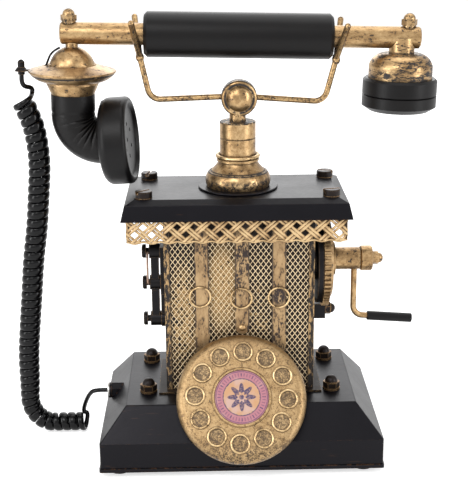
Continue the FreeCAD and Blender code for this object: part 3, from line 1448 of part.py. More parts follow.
def bearing_face_x():
    """X of the bearing plate's outer face."""
    return COLUMN_HALF_X + BEARING_BOSS + BEARING_THICKNESS


def gear_x():
    """X of the gear's inner face."""
    return bearing_face_x() + CONTACT_GAP


def flange_x():
    """X where the crank tube's flange starts."""
    return gear_x() + GEAR_THICKNESS


def tube_end_x():
    """X of the crank tube's outer end."""
    return flange_x() + GEAR_FLANGE_THICKNESS + HUB_LENGTH + TUBE_LENGTH


def bearing_plate():
    """The black bearing plate on the column's right side."""
    bore = SHAFT_RADIUS + RUNNING_FIT
    plate = turned([
        (bore, 0),
        (BEARING_BOSS_RADIUS, 0),
        (BEARING_BOSS_RADIUS, BEARING_BOSS),
        (BEARING_RADIUS, BEARING_BOSS),
        (BEARING_RADIUS, BEARING_BOSS + BEARING_THICKNESS),
        (bore, BEARING_BOSS + BEARING_THICKNESS),
    ])
    return along_x(plate, COLUMN_HALF_X, 0, AXLE_Z)


def pawl_y():
    """Y of the ratchet block's middle."""
    return (PAWL_FRONT_Y + PAWL_BACK_Y) / 2.0


def pawl_z():
    """Height of the ratchet block's middle."""
    return (PAWL_BOTTOM + AXLE_Z - GEAR_TIP_RADIUS - PAWL_GEAR_GAP) / 2.0


def pawl_block():
    """The black ratchet block on the column, below the gear."""
    top = AXLE_Z - GEAR_TIP_RADIUS - PAWL_GEAR_GAP
    block = box(COLUMN_HALF_X, COLUMN_HALF_X + PAWL_OUT, PAWL_FRONT_Y, PAWL_BACK_Y, PAWL_BOTTOM, top)
    stud = Part.makeCylinder(
        BASE_NUT_STUD_RADIUS + HOLE_CLEARANCE, PAWL_OUT / 2,
        Vector(COLUMN_HALF_X + PAWL_OUT / 2, pawl_y(), pawl_z()), X_AXIS)
    return block.cut(stud)


def crank_shaft():
    """The shaft through the bearing, with its collar inside the column."""
    collar_end = COLUMN_HALF_X - COLUMN_WALL - CONTACT_GAP
    collar_start = collar_end - SHAFT_COLLAR_THICKNESS
    shaft = turned([
        (0, SHAFT_START),
        (SHAFT_RADIUS, SHAFT_START),
        (SHAFT_RADIUS, collar_start),
        (SHAFT_COLLAR_RADIUS, collar_start),
        (SHAFT_COLLAR_RADIUS, collar_end),
        (SHAFT_RADIUS, collar_end),
        (SHAFT_RADIUS, tube_end_x()),
        (0, tube_end_x()),
    ])
    return along_x(shaft, 0, 0, AXLE_Z)


def drive_gear():
    """The fine toothed gear."""
    points = []
    step = 2 * math.pi / GEAR_TEETH
    for tooth in range(GEAR_TEETH):
        middle = tooth * step
        for radius, share in (
                (GEAR_ROOT_RADIUS, -GEAR_ROOT_SHARE), (GEAR_TIP_RADIUS, -GEAR_TOP_SHARE),
                (GEAR_TIP_RADIUS, GEAR_TOP_SHARE), (GEAR_ROOT_RADIUS, GEAR_ROOT_SHARE)):
            angle = middle + share * step / 2
            points.append(Vector(radius * math.cos(angle), radius * math.sin(angle), 0))
    gear = Part.Face(Part.makePolygon(points + points[:1])).extrude(Vector(0, 0, GEAR_THICKNESS))
    gear = gear.cut(Part.makeCylinder(SHAFT_RADIUS, GEAR_THICKNESS))
    return along_x(gear, gear_x(), 0, AXLE_Z)


def crank_tube(arm):
    """The flanged brass tube, with its grooved collar, that carries the crank arm."""
    flange = GEAR_FLANGE_THICKNESS
    hub = flange + HUB_LENGTH
    tube = hub + TUBE_LENGTH
    body = turned([
        (SHAFT_RADIUS, 0),
        (GEAR_FLANGE_RADIUS, 0),
        (GEAR_FLANGE_RADIUS - flange, flange),
        (HUB_RADIUS, flange),
        (HUB_RADIUS, hub),
        (TUBE_RADIUS, hub),
        (TUBE_RADIUS, tube),
        (SHAFT_RADIUS, tube),
    ])
    return along_x(body, flange_x(), 0, AXLE_Z).cut(arm)


def crank_collar():
    """The stepped collar at the crank tube's end."""
    groove = COLLAR_GROOVE
    edge = SHEET / 2
    stud = SCREW_SHANK_RADIUS
    collar = turned([
        (stud, 0),
        (COLLAR_GROOVE_RADIUS, 0),
        (COLLAR_GROOVE_RADIUS, groove),
        (COLLAR_RADIUS - edge, groove),
        (COLLAR_RADIUS, groove + edge),
        (COLLAR_RADIUS, COLLAR_LENGTH - edge),
        (COLLAR_RADIUS - edge, COLLAR_LENGTH),
        (stud, COLLAR_LENGTH),
    ])
    return along_x(collar, tube_end_x(), 0, AXLE_Z)


def crank_cap_nut():
    """The cap nut at the crank's end."""
    nut = cap_nut(CRANK_NUT_FLATS, CRANK_NUT_FLATS / 2 + SHEET / 2, SCREW_SHANK_RADIUS, COLLAR_LENGTH)
    return along_x(nut, tube_end_x() + COLLAR_LENGTH, 0, AXLE_Z)


def grip_direction():
    """The direction of the crank's grip, a little down to the right."""
    tilt = math.radians(CRANK_GRIP_TILT)
    return Vector(math.cos(tilt), 0, -math.sin(tilt))


def grip_corner():
    """The corner of the crank's wire."""
    return Vector(CRANK_ARM_X, 0, AXLE_Z - CRANK_DROP)


def crank_arm():
    """The bent wire of the crank, down from the tube and out into the grip."""
    wire_end = CRANK_GRIP_START + CRANK_GRIP_LENGTH - CRANK_GRIP_END_WALL - CONTACT_GAP
    points = [
        Vector(CRANK_ARM_X, 0, AXLE_Z - SHAFT_RADIUS - HOLE_CLEARANCE),
        grip_corner(),
        grip_corner() + grip_direction() * wire_end,
    ]
    return bent_bar(points, CRANK_WIRE_RADIUS, [CRANK_BEND_RADIUS])


def crank_grip():
    """The turning grip on the crank's wire."""
    edge = CRANK_GRIP_ROUND
    bore = CRANK_WIRE_RADIUS + RUNNING_FIT
    depth = CRANK_GRIP_LENGTH - CRANK_GRIP_END_WALL
    grip = turned([
        (bore, 0),
        (CRANK_GRIP_RADIUS - edge, 0),
        round_corner(CRANK_GRIP_RADIUS - edge, edge, edge, -90, 0),
        (CRANK_GRIP_RADIUS, CRANK_GRIP_LENGTH - edge),
        round_corner(CRANK_GRIP_RADIUS - edge, CRANK_GRIP_LENGTH - edge, edge, 0, 90),
        (0, CRANK_GRIP_LENGTH),
        (0, depth),
        (bore, depth),
    ])
    place = grip_corner() + grip_direction() * CRANK_GRIP_START
    grip.Placement = FreeCAD.Placement(place, FreeCAD.Rotation(Z_AXIS, grip_direction()))
    return grip


# Line terminals

def line_plate():
    """The wall plate behind the terminal bar."""
    wall = -COLUMN_HALF_X
    upper = box(wall - LINE_PLATE_OUT, wall, -LINE_PLATE_HALF_Y, LINE_PLATE_HALF_Y,
                LINE_PLATE_BOTTOM, LINE_PLATE_TOP)
    strip = box(wall - LINE_PLATE_OUT, wall, -LINE_STRIP_HALF_Y, LINE_STRIP_HALF_Y,
                LINE_STRIP_BOTTOM, LINE_PLATE_TOP)
    boss = Part.makeCylinder(
        LINE_BOSS_RADIUS + SHEET / 2, LINE_PLATE_OUT,
        Vector(wall - LINE_PLATE_OUT, 0, LINE_SCREW_ZS[0]), X_AXIS)
    return upper.fuse([strip, boss]).removeSplitter().cut(line_shanks(LINE_SCREW_RADIUS + HOLE_CLEARANCE))


def line_shanks(radius):
    """The shanks of the three terminal screws, at a radius."""
    head_x = line_head_x()
    length = -COLUMN_HALF_X - SHEET - head_x
    return [Part.makeCylinder(radius, length, Vector(head_x, 0, z), X_AXIS) for z in LINE_SCREW_ZS]


def line_head_x():
    """X of the screw heads' inner face."""
    return -COLUMN_HALF_X - LINE_PLATE_OUT - LINE_BOSS_LENGTH - LINE_HEAD_GAP


def line_bar():
    """The black terminal bar with its three bosses."""
    plate_x = -COLUMN_HALF_X - LINE_PLATE_OUT
    bosses = []
    for z in LINE_SCREW_ZS:
        bosses.append(Part.makeCylinder(
            LINE_BOSS_RADIUS, LINE_BOSS_LENGTH, Vector(plate_x - LINE_BOSS_LENGTH, 0, z), X_AXIS))
    bar = box(plate_x - LINE_BOSS_LENGTH + LINE_BAR_INSET, plate_x - LINE_BAR_INSET,
              -LINE_BAR_HALF_Y, LINE_BAR_HALF_Y, LINE_SCREW_ZS[0], LINE_SCREW_ZS[-1])
    return bar.fuse(bosses).removeSplitter().cut(line_shanks(LINE_SCREW_RADIUS + HOLE_CLEARANCE))


def line_screws():
    """Three round headed terminal screws."""
    screws = []
    for shank, z in zip(line_shanks(LINE_SCREW_RADIUS), LINE_SCREW_ZS):
        edge = LINE_WIRE_RADIUS
        head = turned([
            (0, 0),
            (LINE_HEAD_RADIUS, 0),
            (LINE_HEAD_RADIUS, LINE_HEAD_THICKNESS - edge),
            (LINE_HEAD_RADIUS - edge, LINE_HEAD_THICKNESS),
            (0, LINE_HEAD_THICKNESS),
        ])
        head.rotate(ORIGIN, Y_AXIS, -90)
        screws.append(moved(head, line_head_x(), 0, z).fuse(shank).removeSplitter())
    return Part.makeCompound(screws)


def line_wire():
    """The thin wire bowed between the two upper terminals."""
    x = line_head_x() + LINE_HEAD_GAP / 2
    near = -LINE_SCREW_RADIUS - LINE_WIRE_RADIUS - HOLE_CLEARANCE
    low, high = LINE_SCREW_ZS[1], LINE_SCREW_ZS[2]
    start = Vector(x, near, low)
    end = Vector(x, near, high)
    middle = Vector(x, near - LINE_WIRE_BOW, (low + high) / 2)
    path = Part.Wire([Part.Arc(start, middle, end).toShape()])
    tangent = path.Edges[0].tangentAt(path.Edges[0].FirstParameter)
    circle = Part.Wire([Part.makeCircle(LINE_WIRE_RADIUS, start, tangent)])
    return path.makePipeShell([circle], True, False)


# Curly cord

def cord_start():
    """The underside of the handset's terminal, where the cord starts."""
    return tilted(Vector(TERMINAL_X, 0, ROD_Z + TERMINAL_BOTTOM))


def tilted_direction(direction):
    """A direction turned with the cradle's head."""
    return FreeCAD.Rotation(Y_AXIS, HEAD_TILT).multVec(direction)


def dense_points(poles):
    """Evenly spaced parameters on the quadratic curve of some poles."""
    spans = len(poles) - ROUTE_DEGREE
    multiplicities = [ROUTE_DEGREE + 1] + [1] * (spans - 1) + [ROUTE_DEGREE + 1]
    curve = Part.BSplineCurve()
    curve.buildFromPolesMultsKnots(
        poles, multiplicities, [float(knot) for knot in range(spans + 1)], False, ROUTE_DEGREE)
    return [curve.value(spans * index / ROUTE_SAMPLES) for index in range(ROUTE_SAMPLES + 1)]


def running_lengths(points):
    """The distance along a line of points to each of them."""
    distances = [0.0]
    for before, after in zip(points, points[1:]):
        distances.append(distances[-1] + (after - before).Length)
    return distances


def curl_stations():
    """Stations on the curls round the route, from its right side to its back."""
    route = dense_points([Vector(*point) for point in CORD_ROUTE])
    distances = running_lengths(route)
    curls = round(distances[-1] / CURL_PITCH) - 0.25
    pitch = distances[-1] / curls
    fine = []
    side = Y_AXIS
    for index in range(1, ROUTE_SAMPLES):
        along = (route[index + 1] - route[index - 1]).normalize()
        side = (side - along * side.dot(along)).normalize()
        across = along.cross(side)
        angle = 2 * math.pi * (distances[index] - distances[-1]) / pitch
        fine.append(route[index] + (side * math.cos(angle) + across * math.sin(angle)) * COIL_CENTRE_RADIUS)
    print(f"cord curls {curls}, pitch {pitch:.3f}")
    return stations_along(fine, distances[1:-1], pitch / CORD_POINTS_PER_CURL)


def stations_along(points, distances, step):
    """Points with their tangents, a steady distance apart."""
    stations = []
    wanted = distances[0]
    for index in range(1, len(points) - 1):
        if distances[index] >= wanted:
            tangent = (points[index + 1] - points[index - 1]).normalize()
            stations.append((points[index], tangent))
            wanted += step
    return stations


def lead_stations(leaving, between, arriving):
    """Stations of a lead between two stations, by way of some points."""
    poles = [leaving[0], leaving[0] + leaving[1] * CORD_LEAD_REACH]
    poles += [Vector(*point) for point in between]
    poles += [arriving[0] - arriving[1] * CORD_LEAD_REACH, arriving[0]]
    points = dense_points(poles)
    distances = running_lengths(points)
    steps = round(distances[-1] / CORD_LEAD_STEP)
    return stations_along(points, distances, distances[-1] / steps)[1:steps]


def arc_or_line(start, corner, end):
    """An arc that touches both lines through the corner, or a line if it is straight."""
    chord = end - start
    middle = (start + end) / 2.0
    reach = (corner - start).Length
    if (corner - middle).Length < 1e-5 * reach:
        return Part.makeLine(start, end)
    angle = math.acos(min(1.0, chord.Length / 2.0 / reach))
    peak = middle + (corner - middle).normalize() * (chord.Length / 2.0 * math.tan(angle / 2.0))
    return Part.Arc(start, peak, end).toShape()


def biarc(start, start_tangent, end, end_tangent):
    """Two tangent arcs between two points with given tangents."""
    chord = end - start
    both = start_tangent + end_tangent
    square = 2.0 * (1.0 - start_tangent.dot(end_tangent))
    linear = chord.dot(both)
    constant = chord.dot(chord)
    if square < 1e-9:
        reach = constant / (2.0 * linear)
    else:
        reach = (-linear + math.sqrt(linear ** 2 + square * constant)) / square
    corner_a = start + start_tangent * reach
    corner_b = end - end_tangent * reach
    join = (corner_a + corner_b) / 2.0
    return [arc_or_line(start, corner_a, join), arc_or_line(join, corner_b, end)]


def least_self_gap(line):
    """The least gap between two stretches of the tube that lie apart along it."""
    points = line.discretize(Number=2 * int(line.Length))
    apart = int(5 * math.pi * CORD_RADIUS)
    least = COIL_CENTRE_RADIUS
    for index, point in enumerate(points):
        for other in points[index + apart:index + 12 * apart]:
            least = min(least, (other - point).Length - 2 * CORD_RADIUS)
    return least


def curly_cord():
    """The cord as one unbroken tube from the handset's terminal to the gland."""
    first = cord_start()
    down = tilted_direction(Vector(0, 0, -1))
    start = (first + down * CORD_STRAIGHT, down)
    last = Vector(gland_end_x(), GLAND_Y, GLAND_Z)
    end = (last - X_AXIS * CORD_STRAIGHT, X_AXIS)
    curls = curl_stations()
    upper = lead_stations(start, UPPER_LEAD, curls[0])
    lower = lead_stations(curls[-1], LOWER_LEAD, end)
    knots = [start] + upper + curls + lower + [end]
    edges = [Part.makeLine(first, knots[0][0])]
    for before, after in zip(knots, knots[1:]):
        edges += biarc(*before, *after)
    edges.append(Part.makeLine(end[0], last))
    line = Part.Wire(edges)
    circle = Part.Wire([Part.makeCircle(CORD_RADIUS, first, down)])
    tube = line.makePipeShell([circle], True, False)
    share = tube.Volume / (math.pi * CORD_RADIUS ** 2 * line.Length)
    print(f"cord length {line.Length:.0f}, volume share {share:.4f}, lowest point {tube.BoundBox.ZMin:.2f}")
    print(f"cord least gap to itself {least_self_gap(line):.2f}")
    return tube


def build():
    """Writes every sub-part."""
    os.makedirs("parts", exist_ok=True)
    stem = cradle_stem()
    wire = cradle_wire()
    rod = handset_rod()
    nuts = handset_nuts(rod)
    saucer = transmitter_saucer()
    arm = crank_arm()
    fixed = {
        "base_shell": base_shell(),
        "base_bottom_plate": base_bottom_plate(),
        "rubber_feet": rubber_feet(),
        "cap_nuts": cap_nuts(),
        "ringer_yoke": ringer_yoke(),
        "ringer_gongs": ringer_gongs(),
        "ringer_hammer": ringer_hammer(),
        "cord_gland": cord_gland(),
        "gland_nut": gland_nut(),
        "column_shell": column_shell(),
        "corner_trims": corner_trims(),
        "mesh_front": mesh_front(),
        "front_straps": front_straps(),
        "strap_rivet": strap_rivet(),
        "ring_loops": ring_loops(),
        "tray_top": tray_top(),
        "tray_screws": tray_screws(),
        "lace_skirt": lace_skirt(),
        "pedestal_washer": pedestal_washer(),
        "pedestal_bell": pedestal_bell(),
        "pedestal_cone": pedestal_cone(),
        "collar_ring": collar_ring(),
        "pedestal_post": pedestal_post(),
        "hook_switch": hook_switch(),
        "line_plate": line_plate(),
        "line_bar": line_bar(),
        "line_screws": line_screws(),
        "line_wire": line_wire(),
        "pawl_block": pawl_block(),
        "bearing_plate": bearing_plate(),
        "dial_bracket": dial_bracket(),
        "dial_spindle": dial_spindle(),
    }
    moving = {
        "crank_shaft": crank_shaft(),
        "drive_gear": drive_gear(),
        "crank_tube": crank_tube(arm),
        "crank_collar": crank_collar(),
        "crank_cap_nut": crank_cap_nut(),
        "crank_arm": arm,
        "crank_grip": crank_grip(),
        "dial_pan": dial_pan(),
        "dial_rings": dial_rings(),
        "dial_card": dial_card(),
        "cradle_stem": stem,
        "cradle_disc": cradle_disc(stem, wire),
        "cradle_wire": wire,
    }
    handset = {
        "handset_rod": rod.cut(nuts),
        "handset_grip": handset_grip(),
        "handset_nuts": Part.makeCompound(nuts),
        "transmitter_dome": transmitter_dome(rod),
        "transmitter_saucer": saucer,
        "transmitter_cup": transmitter_cup(),
        "elbow": elbow(),
        "mouthpiece": mouthpiece(),
        "mic_capsule": mic_capsule(),
        "receiver_cap": receiver_cap(rod),
        "receiver_cup": receiver_cup(),
        "receiver_capsule": receiver_capsule(),
        "cord_terminal": cord_terminal(saucer),
    }
    for node, shape in {**fixed, **moving}.items():
        save(node, shape)
    for node, shape in handset.items():
        save(node, tilted(shape))
    save("curly_cord", curly_cord())


build()
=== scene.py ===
"""Looks of a table telephone in an antique style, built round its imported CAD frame."""

import logging
import math
from collections.abc import Callable, Iterator
from contextlib import contextmanager
from dataclasses import dataclass
from enum import Enum

import bmesh
import bpy
from mathutils import Matrix, Quaternion, Vector, noise


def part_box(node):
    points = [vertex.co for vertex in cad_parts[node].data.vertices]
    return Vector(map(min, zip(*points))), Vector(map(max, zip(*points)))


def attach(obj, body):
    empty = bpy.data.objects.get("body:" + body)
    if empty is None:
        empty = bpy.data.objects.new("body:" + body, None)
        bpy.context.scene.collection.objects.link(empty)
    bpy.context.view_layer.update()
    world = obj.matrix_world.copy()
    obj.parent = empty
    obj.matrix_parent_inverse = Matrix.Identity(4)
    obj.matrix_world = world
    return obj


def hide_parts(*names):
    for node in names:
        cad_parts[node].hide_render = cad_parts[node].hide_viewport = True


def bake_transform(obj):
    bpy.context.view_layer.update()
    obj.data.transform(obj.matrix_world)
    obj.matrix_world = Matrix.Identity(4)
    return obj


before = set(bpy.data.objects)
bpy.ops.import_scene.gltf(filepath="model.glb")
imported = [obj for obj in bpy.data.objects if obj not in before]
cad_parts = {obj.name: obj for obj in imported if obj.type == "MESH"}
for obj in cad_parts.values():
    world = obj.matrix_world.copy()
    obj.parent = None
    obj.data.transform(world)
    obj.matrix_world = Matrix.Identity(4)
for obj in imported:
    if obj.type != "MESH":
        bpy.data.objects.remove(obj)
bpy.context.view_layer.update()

logging.basicConfig(level=logging.INFO, format="%(message)s")
log = logging.getLogger("telephone")

Colour = tuple[float, float, float]
Place = tuple[float, float, float]
Piece = bpy.types.Object
Material = bpy.types.Material
Socket = bpy.types.NodeSocket
Value = float | Socket

# Driving sizes in millimetres, as in the part's source

MM = 0.001
HEAD_TILT = math.radians(1.3)
HEAD_PIVOT_Z = 206.7
ROD_Z = 241.0
TRANSMITTER_X = -91.0
DIAL_CENTRE = (0.0, -48.0, 47.2)
DIAL_LEAN = math.radians(35.0)
DIAL_CIRCLE = 25.9
DIAL_START = 3.0
DIAL_HOLES = 12
WIRE_STEPS = 6


class Body(Enum):
    """The CAD bodies that pieces ride on."""

    STAND = "stand"
    DIAL = "dial"
    CRADLE = "cradle"
    HANDSET = "handset"


class Slot(Enum):
    """The record's material slots named alongside modelled pieces."""

    CORD = "cord_black"
    DIAL = "dial_brass"
    GRIP = "grip_black"
    NET = "mesh_brass"
    OLD = "old_brass"


def metres(point: Place) -> Vector:
    """A point given in millimetres, in metres."""
    return Vector(point) * MM


def tilted(point: Place) -> Vector:
    """A point given in millimetres before the cradle's head was tilted, in metres."""
    pivot = Vector((0.0, 0.0, HEAD_PIVOT_Z))
    return (Matrix.Rotation(HEAD_TILT, 3, "Y") @ (Vector(point) - pivot) + pivot) * MM


# Modelling


def pick_nothing() -> None:
    """Deselects every object."""
    bpy.ops.object.select_all(action="DESELECT")


def make_active(piece: Piece) -> None:
    """Selects one object alone and makes it the active one.

    Args:
        piece: The object.
    """
    pick_nothing()
    piece.select_set(True)
    bpy.context.view_layer.objects.active = piece


@contextmanager
def editing(piece: Piece) -> Iterator[None]:
    """Holds a piece in edit mode with nothing selected.

    Args:
        piece: The mesh object to edit.

    Yields:
        Nothing, while the piece is in edit mode.
    """
    make_active(piece)
    bpy.ops.object.mode_set(mode="EDIT")
    bpy.ops.mesh.select_mode(type="VERT")
    bpy.ops.mesh.select_all(action="DESELECT")
    yield
    bpy.ops.object.mode_set(mode="OBJECT")


def pick(piece: Piece, test: Callable[[Vector], bool]) -> None:
    """Selects the vertices of a piece in edit mode whose place passes a test.

    Args:
        piece: The mesh object that is being edited.
        test: Says whether a vertex at a place is selected.
    """
    mesh = bmesh.from_edit_mesh(piece.data)
    for vertex in mesh.verts:
        vertex.select_set(test(vertex.co))
    mesh.select_flush(True)
    bmesh.update_edit_mesh(piece.data)


def press(piece: Piece, move: Callable[[Vector], Vector]) -> None:
    """Moves each vertex of a piece in edit mode to a new place.

    Args:
        piece: The mesh object that is being edited.
        move: Gives the new place of a vertex from its old one.
    """
    mesh = bmesh.from_edit_mesh(piece.data)
    for vertex in mesh.verts:
        vertex.co = move(vertex.co)
    bmesh.update_edit_mesh(piece.data)


def tidy_mesh(piece: Piece, merge: float = 1e-6) -> None:
    """Merges doubles and points the normals outwards.

    Args:
        piece: The mesh object to tidy.
        merge: How near two vertices are when they count as one.
    """
    with editing(piece):
        bpy.ops.mesh.select_all(action="SELECT")
        bpy.ops.mesh.remove_doubles(threshold=merge)
        bpy.ops.mesh.normals_make_consistent(inside=False)


def smooth(piece: Piece, angle: float = 40.0) -> None:
    """Shades a piece smooth where its faces meet at less than an angle in degrees."""
    make_active(piece)
    bpy.ops.object.shade_smooth_by_angle(angle=math.radians(angle))


def apply_modifier(piece: Piece, kind: str, **settings: object) -> None:
    """Adds a modifier to a piece and applies it.

    Args:
        piece: The mesh object.
        kind: The modifier's type.
        **settings: The modifier's own settings.
    """
    modifier = piece.modifiers.new(kind.lower(), kind)
    for name, value in settings.items():
        setattr(modifier, name, value)
    make_active(piece)
    bpy.ops.object.modifier_apply(modifier=modifier.name)


def copied(piece: Piece, name: str, matrix: Matrix) -> Piece:
    """Copies a piece with a mesh of its own and moves that mesh.

    Args:
        piece: The mesh object to copy.
        name: The copy's name.
        matrix: Where the copy's mesh goes.

    Returns:
        The copy.
    """
    mesh = piece.data.copy()
    mesh.transform(matrix)
    copy = bpy.data.objects.new(name, mesh)
    bpy.context.scene.collection.objects.link(copy)
    return copy


def joined(pieces: list[Piece], name: str) -> Piece:
    """Joins pieces into one object.

    Args:
        pieces: The mesh objects to join.
        name: The name of the whole.

    Returns:
        The joined object.
    """
    make_active(pieces[0])
    for piece in pieces[1:]:
        piece.select_set(True)
    bpy.ops.object.join()
    whole = bpy.context.view_layer.objects.active
    whole.name = name
    return whole


def discard(piece: Piece) -> None:
    """Removes a piece that only served as a pattern."""
    bpy.data.objects.remove(piece)


def repeat(piece: Piece, count: int, step: Place, **settings: object) -> None:
    """Repeats a piece along a line.

    Args:
        piece: The mesh object.
        count: How many there are in all.
        step: The way from one to the next in metres.
        **settings: More settings of the array.
    """
    apply_modifier(
        piece, "ARRAY", count=count, use_relative_offset=False, use_constant_offset=True,
        constant_offset_displace=step, **settings)


def trim(low: tuple[float, float], high: tuple[float, float], fill: bool) -> None:
    """Cuts away what the piece that is being edited has outside a range of X and Z.

    Args:
        low: The range's lower X and Z in metres.
        high: The range's upper X and Z in metres.
        fill: Whether the cuts are closed.
    """
    for axis, place, side in ((0, low[0], -1), (0, high[0], 1), (2, low[1], -1), (2, high[1], 1)):
        point, normal = Vector(), Vector()
        point[axis], normal[axis] = place, side
        bpy.ops.mesh.select_all(action="SELECT")
        bpy.ops.mesh.bisect(plane_co=point, plane_no=normal, clear_outer=True, use_fill=fill)


def route_curve(name: str, points: list[Vector], resolution: int) -> Piece:
    """An open NURBS curve on a few control points.

    Args:
        name: The curve's name.
        points: The control points in metres.
        resolution: How many points each stretch gets.

    Returns:
        The curve's object.
    """
    curve = bpy.data.curves.new(name, "CURVE")
    curve.dimensions = "3D"
    curve.resolution_u = resolution
    spline = curve.splines.new("NURBS")
    spline.points.add(len(points) - 1)
    for control, point in zip(spline.points, points):
        control.co = (*point, 1.0)
    spline.order_u = 3
    spline.use_endpoint_u = True
    holder = bpy.data.objects.new(name, curve)
    bpy.context.scene.collection.objects.link(holder)
    return holder


def smooth_line(points: list[Vector], resolution: int = 24) -> list[Vector]:
    """Points along the NURBS curve of a few control points.

    Args:
        points: The control points in metres.
        resolution: How many points each stretch gets.

    Returns:
        Points on the curve, from its start to its end.
    """
    holder = route_curve("route", points, resolution)
    mesh = bpy.data.meshes.new_from_object(holder)
    line = [vertex.co.copy() for vertex in mesh.vertices]
    discard(holder)
    bpy.data.meshes.remove(mesh)
    return line


def wire_piece(name: str, points: list[Vector], radius: float) -> Piece:
    """A round wire along the NURBS curve of a few control points, as a mesh.

    Args:
        name: The piece's name.
        points: The control points in metres.
        radius: The wire's radius in metres.

    Returns:
        The wire.
    """
    piece = route_curve(name, points, WIRE_STEPS)
    piece.data.bevel_depth = radius
    piece.data.bevel_resolution = 3
    piece.data.use_fill_caps = True
    make_active(piece)
    bpy.ops.object.convert(target="MESH")
    tidy_mesh(piece)
    smooth(piece)
    return piece


def rides(piece: Piece, body: Body, slot: Slot, *nodes: str) -> None:
    """Makes a piece ride on a body and stand for CAD nodes.

    Args:
        piece: The piece.
        body: The body that it moves with.
        slot: The record's material slot; not used.
        *nodes: The CAD nodes that it stands for.
    """
    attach(piece, body.value)
    if nodes:
        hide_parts(*nodes)
    log.info("%s: rides on %s", piece.name, body.value)


def mark_depth(piece: Piece, depth: Callable[[Vector], float]) -> None:
    """Writes each vertex's depth, 0 on crests and 1 at the back, which woven finishes read."""
    layer = piece.data.attributes.new("depth", "FLOAT", "POINT")
    layer.data.foreach_set("value", [depth(vertex.co) for vertex in piece.data.vertices])


def wear_finish(piece: Piece, material: Material) -> None:
    """Gives a piece one material all over."""
    piece.data.materials.clear()
    piece.data.materials.append(material)


def dress(material: Material, *nodes: str) -> None:
    """Gives CAD nodes a material.

    Args:
        material: The material.
        *nodes: The nodes that wear it.
    """
    for node in nodes:
        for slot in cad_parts[node].material_slots:
            slot.material = material
        log.info("%s: wears %s", node, material.name)


# Materials


class Nodes:
    """A node tree, put together a node at a time."""

    def __init__(self, tree: bpy.types.NodeTree) -> None:
        """Takes the tree that the nodes are added to."""
        self.tree = tree

    def add(self, kind: str) -> bpy.types.Node:
        """Adds a node of a kind."""
        return self.tree.nodes.new(kind)

    def feed(self, socket: Socket, value: Value | Place) -> None:
        """Links a socket to an output, or sets it to a value.

        Args:
            socket: The input socket.
            value: An output socket, a number, a colour or a vector.
        """
        if isinstance(value, Socket):
            self.tree.links.new(value, socket)
        elif socket.type == "RGBA":
            socket.default_value = (*value, 1.0)
        else:
            socket.default_value = value

    def maths(self, kind: str, first: Value, second: Value = 0.0) -> Socket:
        """A calculation with two numbers.

        Args:
            kind: The operation's name.
            first: The first number.
            second: The second number.

        Returns:
            The result.
        """
        node = self.add("ShaderNodeMath")
        node.operation = kind
        self.feed(node.inputs[0], first)
        self.feed(node.inputs[1], second)
        return node.outputs[0]

    def plus(self, first: Value, second: Value) -> Socket:
        """The sum of two numbers."""
        return self.maths("ADD", first, second)

    def minus(self, first: Value, second: Value) -> Socket:
        """The first number less the second."""
        return self.maths("SUBTRACT", first, second)

    def times(self, first: Value, second: Value) -> Socket:
        """The product of two numbers."""
        return self.maths("MULTIPLY", first, second)

    def larger(self, first: Value, second: Value) -> Socket:
        """The larger of two numbers."""
        return self.maths("MAXIMUM", first, second)

    def gap(self, first: Value, second: Value) -> Socket:
        """How far two numbers are apart."""
        return self.maths("ABSOLUTE", self.minus(first, second))

    def length(self, first: Value, second: Value) -> Socket:
        """The root of the sum of two squares."""
        return self.maths("SQRT", self.plus(self.times(first, first), self.times(second, second)))

    def mean(self, *parts: tuple[float, Value]) -> Socket:
        """A weighted sum of values.

        Args:
            *parts: Each value's weight and the value.

        Returns:
            The sum.
        """
        total = self.times(parts[0][1], parts[0][0])
        for weight, value in parts[1:]:
            total = self.plus(total, self.times(value, weight))
        return total

    def span(self, value: Value, low: float, high: float) -> Socket:
        """A smooth step from 0 at low to 1 at high.

        Args:
            value: The value that is looked up.
            low: Where the step is 0; it may be the larger one.
            high: Where the step is 1.

        Returns:
            The step's height.
        """
        node = self.add("ShaderNodeMapRange")
        node.interpolation_type = "SMOOTHSTEP"
        self.feed(node.inputs["Value"], value)
        rising = low <= high
        node.inputs["From Min"].default_value = min(low, high)
        node.inputs["From Max"].default_value = max(low, high)
        node.inputs["To Min"].default_value = 0.0 if rising else 1.0
        node.inputs["To Max"].default_value = 1.0 if rising else 0.0
        return node.outputs["Result"]

    def between(self, share: Value, first: float, second: float) -> Socket:
        """A number between two.

        Args:
            share: The share of the second.
            first: The number at share 0.
            second: The number at share 1.

        Returns:
            The number.
        """
        node = self.add("ShaderNodeMix")
        self.feed(node.inputs[0], share)
        node.inputs[2].default_value = first
        node.inputs[3].default_value = second
        return node.outputs[0]

    def seen(self) -> Socket:
        """Tells the rays that make the picture from those that only carry light.

        Returns:
            1 for what is seen plainly, mirrored or through something clear, otherwise 0.
        """
        rays = self.add("ShaderNodeLightPath").outputs
        plain = self.larger(rays["Is Camera Ray"], rays["Is Glossy Ray"])
        return self.larger(plain, rays["Is Transmission Ray"])


